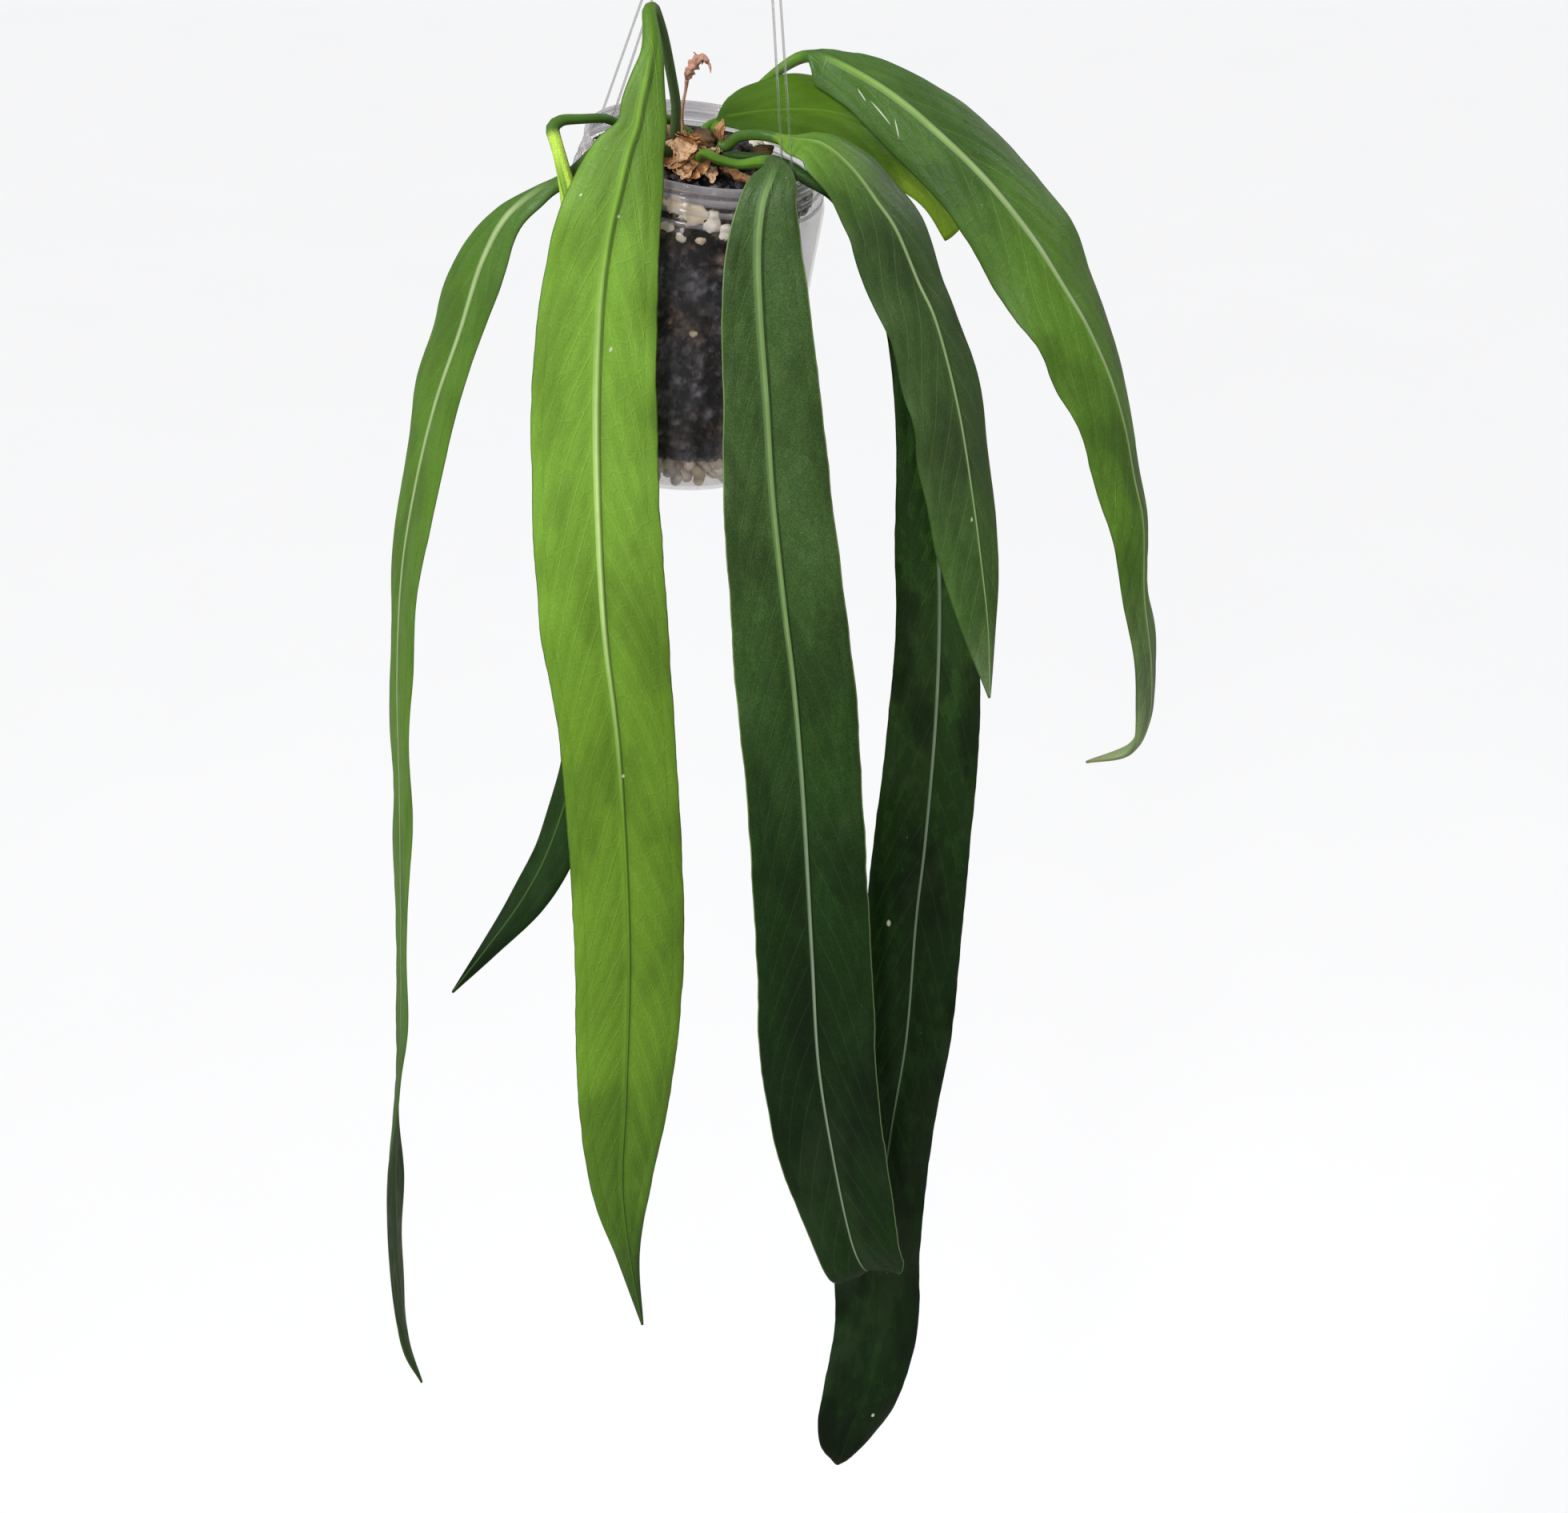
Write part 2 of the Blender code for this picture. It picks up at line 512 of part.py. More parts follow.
def leaf(name, data, collection):
    """Petiole, its swollen joint and the blade, grown as one piece from the stem's side."""
    foot = stem_point(data["angle"], data["height"], STEM_CLEARANCE)
    out = stem_point(data["angle"], data["height"], PETIOLE_STEP)
    start = data["petiole"][0][3]
    petiole = [(*foot, start), (*out, start)] + under_hook(data["petiole"])
    blade = under_hook(data["blade"])
    first = blade[0]
    rows = [(x, y, z, r, r, first[5], first[6], r) for x, y, z, r in petiole]
    rows += [(*row, min(row[3], row[4], petiole[-1][3])) for row in blade]
    rows = smooth_rows(rows, RING_SPACING)
    points = rows[:, :3]
    along = tangents(points)
    turn_in = int(np.argmin(np.linalg.norm(points - np.array(first[:3]), axis=1)))
    sides = [None] * len(rows)
    for i in range(turn_in, len(rows)):
        sides[i] = side_vector(along[i], rows[i, 5], rows[i, 6])
    for i in range(turn_in - 1, -1, -1):
        sides[i] = square_to(sides[i + 1], along[i])
    rings = [section(points[i], along[i], sides[i], max(row[3], THINNEST_EDGE), max(row[4], THINNEST_EDGE),
                     data["fold"], max(row[7], THINNEST)) for i, row in enumerate(rows)]
    finish = material(name + "_green", data["colour"], 0.45)
    return loft(name, rings, finish, collection)


def tube(name, rows, finish, collection, sides=TUBE_SIDES):
    """A round body through rows of x, y, z and radius."""
    rows = np.array(rows, float)
    along = tangents(rows[:, :3])
    side = square_to(np.array([0.3, 0.95, 0.1]), along[0])
    rings = []
    for row, tangent in zip(rows, along):
        side = square_to(side, tangent)
        up = np.cross(tangent, side)
        rings.append([row[:3] + row[3] * (side * math.cos(a) + up * math.sin(a))
                      for a in np.arange(sides) * 2 * math.pi / sides])
    return loft(name, rings, finish, collection)


def dried_flower(collection):
    dry = material("dried_flower", (0.3, 0.16, 0.1), 0.85)
    foot = stem_point(FLOWER_ANGLE, FLOWER_HEIGHT, STEM_CLEARANCE)
    out = stem_point(FLOWER_ANGLE, FLOWER_HEIGHT + 0.5, FLOWER_STEP)
    rows = [(*foot, FLOWER[0][3]), (*out, FLOWER[0][3])] + under_hook(FLOWER)
    return tube("dried_flower_stalk", rows, dry, collection)


def dried_sheath(name, angle, height, width, rise, lean, collection):
    """A papery strip that grows from the stem's side and leans outwards to a point."""
    paper = material(name + "_paper", (0.5, 0.28, 0.12), 0.85)
    turn = math.radians(angle)
    frame = pot_frame().to_3x3()
    across = np.array(frame @ Vector((-math.sin(turn), math.cos(turn), 0)))
    outward = np.array(frame @ Vector((math.cos(turn), math.sin(turn), 0)))
    rings = []
    for share, spread, out in SHEATH_SHAPE:
        middle = np.array(stem_point(angle, height + share * rise, GAP + 2 * SHEATH_THICKNESS + out * lean))
        half = across * width * spread
        cupped = outward * SHEATH_CUP * share
        rings.append([middle + half + cupped, middle + outward * SHEATH_THICKNESS,
                      middle - half + cupped, middle - outward * SHEATH_THICKNESS])
    return loft(name, rings, paper, collection)


def bark_chip(name, place, turn, size, collection):
    """An irregular chip: a cube pulled to the chip's size with its corners cut."""
    bark = material(name + "_bark", (0.3, 0.2, 0.12), 0.9)
    shape = bmesh.new()
    bmesh.ops.create_cube(shape, size=2 * MM)
    bmesh.ops.bevel(shape, geom=shape.edges, offset=CHIP_CUT * MM, segments=1, affect="EDGES")
    bmesh.ops.scale(shape, vec=size, verts=shape.verts)
    mesh = bpy.data.meshes.new(name)
    shape.to_mesh(mesh)
    shape.free()
    obj = add_object(name, mesh, bark, collection)
    frame = pot_frame()
    seat = frame @ Vector((*place, -SUBSTRATE_DEPTH + GAP + size[2]))
    obj.matrix_world = (Matrix.Translation(seat * MM) @ frame.to_3x3().to_4x4()
                        @ Matrix.Rotation(math.radians(turn), 4, "Z"))
    return obj


def curve_tube(name, points, diameter, finish, collection):
    """A round tube of one thickness through the points, with closed ends."""
    curve = bpy.data.curves.new(name, "CURVE")
    curve.dimensions = "3D"
    curve.bevel_depth = diameter / 2 * MM
    curve.bevel_resolution = 2
    curve.use_fill_caps = True
    spline = curve.splines.new("POLY")
    spline.points.add(len(points) - 1)
    for point, place in zip(spline.points, points):
        point.co = (*(Vector(place) * MM), 1)
    obj = bpy.data.objects.new(name, curve)
    curve.materials.append(finish)
    collection.objects.link(obj)
    return obj


def as_mesh(obj, collection):
    """The curve object's tube as a mesh with its caps joined on."""
    graph = bpy.context.evaluated_depsgraph_get()
    mesh = bpy.data.meshes.new_from_object(obj.evaluated_get(graph))
    shape = bmesh.new()
    shape.from_mesh(mesh)
    bmesh.ops.remove_doubles(shape, verts=shape.verts, dist=0.00001)
    shape.to_mesh(mesh)
    shape.free()
    made = bpy.data.objects.new(obj.name + "_mesh", mesh)
    collection.objects.link(made)
    made.matrix_world = obj.matrix_world
    bpy.data.objects.remove(obj, do_unlink=True)
    return made


def cord_route(side):
    """From the hub down outside the lip, in through the hole, and up inside the lip to the hub."""
    turn = math.radians(HOLE_ANGLES[side])
    end_turn = math.radians(CORD_END_ANGLES[side])
    top = HUB[-1][1] - 2 * GAP
    outer_end, inner_end = [Vector((r * math.cos(end_turn), r * math.sin(end_turn), top))
                            for r in CORD_END_RADII]

    def beside(radius, depth):
        return in_pot(radius * math.cos(turn), radius * math.sin(turn), -depth)

    bend = [math.radians(a) for a in (0, 30, 60, 90)]
    outside = [beside(CORD_OUTSIDE - CORD_BEND * (1 - math.cos(a)),
                      HOLE_DEPTH - CORD_BEND * (1 - math.sin(a))) for a in bend]
    inside = [beside(CORD_INSIDE + CORD_BEND * (1 - math.cos(a)),
                     HOLE_DEPTH - CORD_BEND * (1 - math.sin(a))) for a in reversed(bend)]
    return [outer_end] + outside + inside + [inner_end]


def hanger(collection, cutters):
    clear = material("clear_nylon", (0.8, 0.85, 0.88), 0.1, 0.9)
    moulded = material("clear_moulded_plastic", (0.85, 0.88, 0.9), 0.2, 0.8)
    for side in HOLE_ANGLES:
        curve_tube("hanger_cord_" + side, cord_route(side), CORD_DIAMETER, clear, collection)
    radius = HOOK_INNER_RADIUS + HOOK_WIRE / 2
    centre = -HOOK_INNER_RADIUS
    points = [(0, 0, HUB[0][1] - SHANK_IN_HUB), (0, 0, centre - radius - SHANK_RISE)]
    for angle in range(HOOK_START, HOOK_END + 1, HOOK_STEP):
        turn = math.radians(angle)
        points.append((radius * math.cos(turn), 0, centre + radius * math.sin(turn)))
    wire = as_mesh(curve_tube("hook_wire", points, HOOK_WIRE, moulded, cutters), cutters)
    wire.hide_render = True
    wire.display_type = "WIRE"
    turns = [2 * math.pi * i / HUB_SIDES for i in range(HUB_SIDES)]
    rings = [[(r * math.cos(t), r * math.sin(t), z) for t in turns] for r, z in HUB]
    hook = loft("hanger_hook", rings, moulded, collection)
    join = hook.modifiers.new("wire", "BOOLEAN")
    join.operation = "UNION"
    join.object = wire


def main():
    clear_scene()
    plant = new_collection("strap_leaved_aroid")
    cutters = new_collection("cutters")
    pot(plant, cutters)
    filling(plant)
    crown_stem(plant)
    for name, data in LEAVES.items():
        leaf(name, data, plant)
    dried_flower(plant)
    for name, (angle, height, width, rise, lean) in SHEATHS.items():
        dried_sheath(name, angle, height, width, rise, lean, plant)
    for name, (place, turn, size) in BARK_CHIPS.items():
        bark_chip(name, place, turn, size, plant)
    hanger(plant, cutters)


main()
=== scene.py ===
"""Strap-leaved aroid in a clear hanging pot: its looks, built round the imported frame.

Lengths in the tables are millimetres. Places and main sizes are those of the part's source, and the finer
shapes are only here.
"""
import math
from functools import partial

import bmesh
import bpy
import numpy as np
from mathutils import Matrix, Vector, noise


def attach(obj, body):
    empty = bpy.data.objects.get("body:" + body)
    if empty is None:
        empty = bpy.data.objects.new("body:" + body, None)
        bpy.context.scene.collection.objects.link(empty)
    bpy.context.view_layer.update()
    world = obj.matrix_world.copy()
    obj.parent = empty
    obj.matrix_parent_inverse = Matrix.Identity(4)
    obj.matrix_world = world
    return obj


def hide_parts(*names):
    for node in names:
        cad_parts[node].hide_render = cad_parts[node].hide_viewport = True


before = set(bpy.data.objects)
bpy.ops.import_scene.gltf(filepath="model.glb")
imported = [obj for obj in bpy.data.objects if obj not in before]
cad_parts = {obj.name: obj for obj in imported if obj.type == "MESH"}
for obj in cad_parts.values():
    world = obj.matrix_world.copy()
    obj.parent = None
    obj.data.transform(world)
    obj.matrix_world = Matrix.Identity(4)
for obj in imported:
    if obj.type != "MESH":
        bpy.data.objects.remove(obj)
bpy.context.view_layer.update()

bl_info = {
    "name": "Strap-leaved aroid in a hanging pot",
    "version": (1, 0, 0),
    "blender": (4, 5, 0),
    "location": "View3D > Sidebar > Hanging plant",
    "description": "Builds the leaves, the clear pot with its filling and the hanger round the packed frame",
    "category": "Object",
}

BODY = "root"
MM = 0.001
# Room between pieces that lie against each other.
GAP = 0.3

# Where the plant's own frame stands from the hook at the origin. The pot hangs tilted in it.
PLANT_AT = (7, 1, 50)
POT_CENTRE = (-25, 0, -250)
POT_ROLL = 8.5
POT_PITCH = 6
POT_HEIGHT = 165
POT_WALL = 1.2
LIP_RADIUS = 60
LIP_DEPTH = 3.6
LIP_ROUND = 0.9
NECK_RADIUS = 58.6
# Depth under the lip and outer radius of each bead on the shoulder.
BEADS = ((7.5, 60.4), (13, 62), (19, 63.6))
BEAD_RISE = 0.9
SHOULDER_RADIUS = 65
SHOULDER_DEPTH = 24
FOOT_RADIUS = 61.5
FOOT_ROUND = 5
SUBSTRATE_DEPTH = 12
PEBBLE_LAYER = 16
# How far the wall is out of round, and how much of the thick lip and beads is seen, not looked through.
WALL_WOBBLE = 0.12
RIM_BODY = 0.7

# Hanger: the cords' holes under the lip, their routes and ends, and the hook.
# HUB is the outline of the hook's plate, as radius and height.
HOLE_DIAMETER = 3.4
HOLE_DEPTH = 5.6
HOLE_ANGLES = {"left": 147, "right": -43}
CORD_OUTSIDE = 62.4
CORD_INSIDE = 55.6
CORD_BEND = 2.6
CORD_END_ANGLES = {"left": 148, "right": -31}
CORD_END_RADII = (17, 13.6)
CORD_TOP = -42.6
HOOK_INNER_RADIUS = 14
HOOK_WIRE = 4
HOOK_START = -75
HOOK_END = 195
HUB = ((5, -29), (5.2, -31.5), (6, -34), (8, -36), (12, -36.9), (18.2, -37.4), (18.8, -37.7), (19, -38.2),
       (19, -41.2), (18.8, -41.8), (18.2, -42))

# Stem, and how a petiole leaves it and turns into a blade.
STEM_PLACE = (-1, 3)
STEM_RADIUS = 8
STEM_HEIGHT = 18
STEM_SWELL = 1.08
STEM_TAPER = 0.16
STEM_SHOULDER = 0.85
STEM_TOP = 0.8
STEM_CLEARANCE = 0.45
PETIOLE_STEP = 4.8
# The least half-width and half-thickness of a leaf. It is round where the two are alike, and a flat blade
# once the half-width is FLATTENING more.
THINNEST_EDGE = 0.6
THINNEST = 0.5
FLATTENING = 12

# A petiole's rows are x, y, z and its radius; it grows from the stem at an angle and a height.
# A blade's rows are x, y, z of the midrib, the half-widths left and right of it in the front view,
# the way its right half points (degrees from +X) and how far that half dips.
LEAVES = {
    "leaf_front_left": {
        "angle": 185,
        "height": 12,
        "petiole": [(-39.3, -2, -243, 2.6), (-38.4, -8, -229, 2.5), (-40.5, -16, -210, 2.5),
            (-43.3, -26, -191, 2.6), (-46.2, -35, -178.5, 2.9), (-47.6, -40, -175, 3.3)],
        "blade": [(-49, -45, -175.5, 3.4, 3.5, 0, 0), (-48.4, -52, -182, 3.6, 4.5, 0, 0),
            (-48.2, -60, -191, 4.6, 6.3, 0, 0), (-50, -66, -201, 7.3, 8.8, 0, 0),
            (-52.7, -71, -212, 9, 12.4, 0, 0), (-55, -75, -223, 9.6, 15, 0, 0),
            (-59, -79, -234, 17, 17.8, 0, 0), (-63.4, -84, -251, 23, 21.3, -2, 0),
            (-69, -88, -274, 26.5, 25, -4, 0), (-74, -91, -312, 30, 28, -4, 0),
            (-77, -94, -377, 33, 30, -4, 0), (-76, -96, -466, 33, 32, -3, 0),
            (-70, -96, -547, 30.5, 29.5, 0, 0), (-68, -94, -657, 29, 30, 4, 0),
            (-72, -90, -751, 26.5, 26, 6, 0), (-76, -87, -817, 18, 17, 8, 0), (-73, -84, -869, 7.5, 6, 8, 0),
            (-67, -80, -920, 0.7, 0.7, 8, 0)],
    },
    "leaf_far_left": {
        "angle": 222,
        "height": 5,
        "petiole": [(-46, -14, -249, 2.7), (-56, -27, -242, 2.6), (-67, -38, -239, 2.6),
            (-76, -44, -242, 2.8), (-85, -43, -251, 3.2)],
        "blade": [(-93, -41, -258, 4, 4, -35, 0), (-105, -42, -264, 5, 8, -38, 0),
            (-121, -42, -277, 10, 11, -42, 0), (-134, -41, -299, 18, 17, -48, 0),
            (-147, -38, -336, 27.5, 18, -54, 0), (-162, -35, -376, 26, 20, -58, 0),
            (-175, -32, -422, 20, 23, -61, 0), (-185, -30, -471, 18, 25, -65, 0),
            (-191, -30, -532, 19, 24, -69, 0), (-194, -30, -604, 21, 24, -71, 0),
            (-198, -30, -679, 22, 20, -74, 0), (-203, -30, -758, 21, 19, -78, 0),
            (-209, -30, -807, 19, 18, -88, 0), (-213, -30, -862, 15, 15, -100, 0),
            (-215, -30, -926, 11, 11, -98, 0), (-213, -30, -973, 6, 6, -88, 0),
            (-205, -30, -1002, 0.7, 0.7, -80, 0)],
    },
    "leaf_left_behind": {
        "angle": 132,
        "height": 12,
        "petiole": [(-42, 11, -241, 2.4), (-52, 3, -238.5, 2.2), (-64.9, -12, -237, 2.2),
            (-73, -24, -231.5, 2.3), (-84, -33, -229.5, 2.4), (-93, -38, -229, 2.8), (-97, -41, -232, 3.4)],
        "blade": [(-95.5, -46, -237, 3.2, 3.2, -35, 0), (-93, -52, -244, 3.2, 3.4, -35, 0),
            (-89, -57, -261, 5, 5, -25, 0), (-84, -60, -294, 9.9, 10, -15, 0),
            (-81, -61, -334, 14.5, 15, -10, 0), (-82, -61, -389, 17.5, 17, -10, 0),
            (-86, -61, -450, 16.5, 18, -12, 0), (-91, -60, -513, 12, 19, -16, 0),
            (-95, -60, -565, 9.5, 18, -22, 0), (-109, -60, -613, 9.7, 15, -28, 0),
            (-125, -60, -647, 9, 12.5, -30, 0), (-146, -60, -679, 5.6, 5.8, -30, 0),
            (-168, -60, -708, 0.7, 0.7, -30, 0)],
    },
    "leaf_front_dark": {
        "angle": 262,
        "height": 5,
        "petiole": [(-24, -20, -250, 2.6), (-17, -33, -249.5, 2.4), (-7, -42, -249.5, 2.4),
            (1, -47, -247.5, 3), (6, -51, -246, 3.4)],
        "blade": [(10, -55, -245.5, 4, 4.5, 0, 0), (10, -62, -247, 6.5, 9, 0, 0),
            (8, -68, -251, 9.5, 14, 0, 0), (4, -74, -261, 11, 18, 0, 0), (2, -78, -282, 15, 22, 0, 0),
            (3, -81, -314, 18.5, 25.5, 0, 0), (6, -83, -356, 21, 27.5, 0, 0), (9, -85, -405, 24.5, 30, 0, 0),
            (15, -87, -465, 27.5, 31.5, 0, 0), (20, -88, -509, 30, 32, 0, 0),
            (25, -89, -574, 29.5, 31.5, 0, 0), (30, -90, -666, 30, 32.5, -4, 0),
            (34, -90, -736, 32, 33, -8, 0), (43, -90, -800, 30, 31, -10, 0), (53, -90, -853, 23, 28, -8, -8),
            (61, -86, -876, 21, 25, -4, -18), (67, -78, -879, 15, 19, 0, -22), (73, -72, -873, 8, 10, 0, -24),
            (78, -69, -866, 0.8, 0.8, 0, -24)],
    },
    "leaf_right": {
        "angle": -15,
        "height": 12,
        "petiole": [(-8, -3, -246, 2.8), (-1, -9, -243.5, 2.6), (6, -14, -242.5, 2.7)],
        "blade": [(13, -17, -243.5, 3.2, 3.2, 78, -8), (19, -22, -243.5, 8, 9, 76, -10),
            (25, -27, -242, 12.5, 15, 72, -13), (32, -30, -242, 16.5, 18, 67, -16),
            (40, -34, -246, 19.5, 22, 60, -16), (50, -38, -255, 20, 26, 54, -14),
            (60, -41, -268, 22.5, 26, 48, -10), (70, -44, -282, 25.5, 24, 44, -8),
            (81, -47, -307, 26, 20, 38, -4), (91, -50, -329, 26.5, 19, 36, 0),
            (103, -53, -374, 25.5, 20, 34, 0), (112, -55, -425, 25, 17, 32, 0),
            (116, -56, -453, 21, 13, 30, 0), (120, -56, -489, 14, 6.5, 28, 0),
            (123, -56, -530, 0.7, 0.7, 24, 0)],
    },
    "leaf_lowest": {
        "angle": -58,
        "height": 5,
        "petiole": [(-13, -13, -253.5, 2.7), (-1, -20, -252, 2.6), (11, -26, -252, 2.6), (19, -32, -254, 2.8),
            (25.5, -37.5, -257.5, 3.2)],
        "blade": [(39, -39.5, -265, 3.2, 3, 14, 0), (48, -36.5, -277, 4.4, 5, 14, 0),
            (60, -31.5, -296, 7.4, 8.5, 14, 0), (72, -28, -319, 11, 12, 14, 0),
            (81, -27, -345, 13, 16, 14, 0), (89, -29, -401, 17, 18, 12, 0), (95, -31, -453, 22, 19.5, 8, 0),
            (97, -33, -499, 23, 21, 4, 0), (96, -36, -558, 25.5, 24.5, 0, 0), (92, -38, -627, 28, 25, 0, 0),
            (88, -40, -674, 27.5, 26.5, 0, 0), (84, -42, -749, 26, 25.5, 0, 0), (76, -42, -815, 25, 25, 0, 0),
            (69, -42, -894, 24, 26, 0, 0), (69, -42, -952, 24, 26, 0, 0), (63, -42, -1000, 24, 21.5, 0, 0),
            (56, -42, -1027, 21.5, 16.5, 0, 0), (50, -42, -1047, 13, 7, 0, 0), (47, -42, -1054, 2, 2, 0, 0)],
    },
    "leaf_back_right": {
        "angle": 54,
        "height": 12,
        "petiole": [(-19.5, 14, -246, 2.7)],
        "blade": [(-17, 14.5, -243, 4, 4.5, 76, -24), (-12.5, 16.5, -241.6, 9, 10, 76, -24),
            (-7, 19, -240.6, 13.5, 16.5, 75, -26), (1, 22, -240, 17, 23.5, 74, -26),
            (13, 26, -240, 20, 28, 73, -26), (27, 31, -241, 22, 29.5, 71, -26),
            (41.5, 36, -244, 22.5, 28, 69, -20), (57, 42, -251.5, 22, 25, 65, -14),
            (70.5, 46, -263, 19, 21, 60, -8), (83.5, 48, -278, 14, 17, 54, -3),
            (94, 49, -293, 9.5, 14, 50, 0), (103.5, 49, -311, 6.5, 10, 48, 0)],
    },
    "leaf_far_right": {
        "angle": 91,
        "height": 11,
        "petiole": [(-22, 24, -247, 2.7), (-13.3, 30, -245, 2.6), (-6, 40, -241, 2.5), (1, 51, -235.5, 2.5),
            (11, 60, -228.5, 2.6), (22, 60, -221.5, 3.2)],
        "blade": [(29, 55, -219, 3.8, 3.8, 34, -20), (35, 52, -219, 13.5, 13.5, 34, -20),
            (45, 48, -222.5, 16, 16, 35, -22), (62.5, 44, -231.5, 19.4, 20.5, 36, -26),
            (77.5, 39, -241, 21.5, 23.5, 34, -28), (91, 34, -251.5, 23, 27, 31, -28),
            (108, 29, -266, 24.5, 29, 30, -26), (125.5, 24, -283.5, 26.6, 30.5, 32, -24),
            (145, 20, -307.5, 29.6, 33.5, 37, -20), (160, 16, -330, 31, 35.5, 44, -14),
            (172, 13, -349, 30.5, 35, 49, -10), (185, 10, -376, 31.5, 33.5, 55, -4),
            (194, 8, -403, 30, 30.5, 59, 0), (200, 5, -430, 25, 24, 60, 0), (206, 2, -456, 22.7, 19, 60, 0),
            (208, -2, -493, 16, 16, 54, 0), (213, -5, -534, 10.8, 10.8, 52, 0),
            (213, -7, -565, 8.6, 8.6, 56, 0), (205, -8, -584, 6.2, 6.2, 72, 0),
            (181, -10, -591, 0.7, 0.7, 95, 0)],
    },
}

# Papery dried sheaths on the stem's side: the angle and height they grow from, half-width, rise and lean.
SHEATHS = {
    "dried_sheath_front": (238, 12, 5.5, 8, 11),
    "dried_sheath_left": (206, 0.5, 2.4, 2.5, 5),
    "dried_sheath_right": (21, 8, 3.4, 15, 3),
    "dried_sheath_back": (285, 9, 4.5, 6, 13),
}
# Each ring: its share of the rise, of the half-width and of the lean.
SHEATH_SHAPE = ((0, 0.8, 0), (0.35, 1, 0.15), (0.7, 0.75, 0.5), (1, 0.15, 1))

# Bark chips lying on the substrate in the pot's own frame: place, turn, and half-sizes of the chip.
BARK_CHIPS = {
    "bark_chip_left": ((-38, 8), 25, (11, 7, 4)),
    "bark_chip_back": ((-14, 34), -15, (12, 6, 4.5)),
    "bark_chip_front": ((-30, -24), 60, (8, 6, 3.5)),
    "bark_chip_right": ((30, 22), 40, (9, 7, 4)),
}

# Dried flower stalk with its shrivelled head: where it leaves the stem, then x, y, z and radius.
FLOWER_ANGLE = 156
FLOWER_HEIGHT = 7
FLOWER_STEP = 2.4
FLOWER = [(-35.8, 7.5, -244, 0.9), (-36, 6, -238, 0.8), (-35.1, 4, -230, 0.8), (-33.8, 3, -223.5, 0.8),
          (-33, 2.5, -218.5, 1.2), (-31.7, 2, -215, 2.4), (-30, 2, -211.5, 3), (-27.5, 2, -209, 2.6),
          (-24.8, 2, -208, 2.2), (-22.7, 2, -210.3, 1.2)]
FLOWER_HEAD_ROWS = 6


def linear(code):
    """An sRGB hex colour as the linear RGBA that a shader takes."""
    shares = [int(code[i:i + 2], 16) / 255 for i in (1, 3, 5)]
    return (*[s / 12.92 if s <= 0.04045 else ((s + 0.055) / 1.055) ** 2.4 for s in shares], 1)


def add(tree, kind, inputs=None, out=0, stops=(), **options):
    """One shader node: its settings, its inputs (a value, or a socket to link) and a ramp's stops.

    Returns the output asked for. A stop is a position with a hex colour or a grey share.
    """
    node = tree.nodes.new("ShaderNode" + kind)
    for name, value in options.items():
        setattr(node, name, value)
    for name, value in (inputs or {}).items():
        if isinstance(value, bpy.types.NodeSocket):
            tree.links.new(value, node.inputs[name])
        else:
            node.inputs[name].default_value = linear(value) if isinstance(value, str) else value
    for i, (position, colour) in enumerate(stops):
        elements = node.color_ramp.elements
        stop = elements[i] if i < len(elements) else elements.new(1)
        stop.position = position
        stop.color = linear(colour) if isinstance(colour, str) else (colour, colour, colour, 1)
    return node.outputs[out] if node.outputs else node


# Settings for add, by what the node does.
PLUS = {"operation": "ADD"}
LESS = {"operation": "SUBTRACT"}
TIMES = {"operation": "MULTIPLY"}
OVER = {"operation": "DIVIDE"}
SIZE = {"operation": "ABSOLUTE"}
SOFT = {"interpolation_type": "SMOOTHSTEP"}
BLEND = {"out": 2, "data_type": "RGBA"}
TINT = {**BLEND, "blend_type": "MULTIPLY"}


def grey(strength):
    """The colour that makes another one lighter (over 1) or darker when multiplied in."""
    return (strength, strength, strength, 1)


def new_material(name):
    """An empty material. Returns the material and a function that adds a node to it."""
    made = bpy.data.materials.new(name)
    made.use_nodes = True
    made.node_tree.nodes.clear()
    return made, partial(add, made.node_tree)


def link(obj):
    bpy.context.scene.collection.objects.link(obj)


def place_piece(name, data, finishes, node):
    """A piece from a mesh or a curve that rides on the plant and stands for one CAD node."""
    piece = bpy.data.objects.new(name, data)
    for finish in finishes:
        data.materials.append(finish)
    link(piece)
    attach(piece, BODY)
    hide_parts(node)
    return piece


def mesh_piece(name, points, faces, finishes, node, kinds=()):
    """A smooth piece from points in millimetres and faces; kinds has the number of each face's finish."""
    mesh = bpy.data.meshes.new(name)
    mesh.from_pydata([tuple(p) for p in np.asarray(points, float) * MM], [], faces)
    mesh.update()
    mesh.shade_smooth()
    if kinds:
        mesh.polygons.foreach_set("material_index", kinds)
    return place_piece(name, mesh, finishes, node)


def lay_map(mesh, title, u, v):
    """A map on the mesh from two numbers for each of its points."""
    corner = np.empty(len(mesh.loops), int)
    mesh.loops.foreach_get("vertex_index", corner)
    layer = mesh.uv_layers.new(name=title)
    layer.data.foreach_set("uv", np.stack([u.ravel()[corner], v.ravel()[corner]], axis=1).ravel())


def pot_frame():
    """The pot's own frame in the row frame, millimetres."""
    turn = Matrix.Rotation(math.radians(POT_PITCH), 4, "X") @ Matrix.Rotation(math.radians(POT_ROLL), 4, "Y")
    return Matrix.Translation(Vector(POT_CENTRE) + Vector(PLANT_AT)) @ turn


def in_pot(x, y, z):
    return np.array(pot_frame() @ Vector((x, y, z)))


def all_in_pot(points):
    frame_of_pot = np.array(pot_frame())
    return np.asarray(points, float) @ frame_of_pot[:3, :3].T + frame_of_pot[:3, 3]


def around(radius, turn, z=0.0):
    """The point at a radius and an angle in radians round the upright axis."""
    return radius * math.cos(turn), radius * math.sin(turn), z


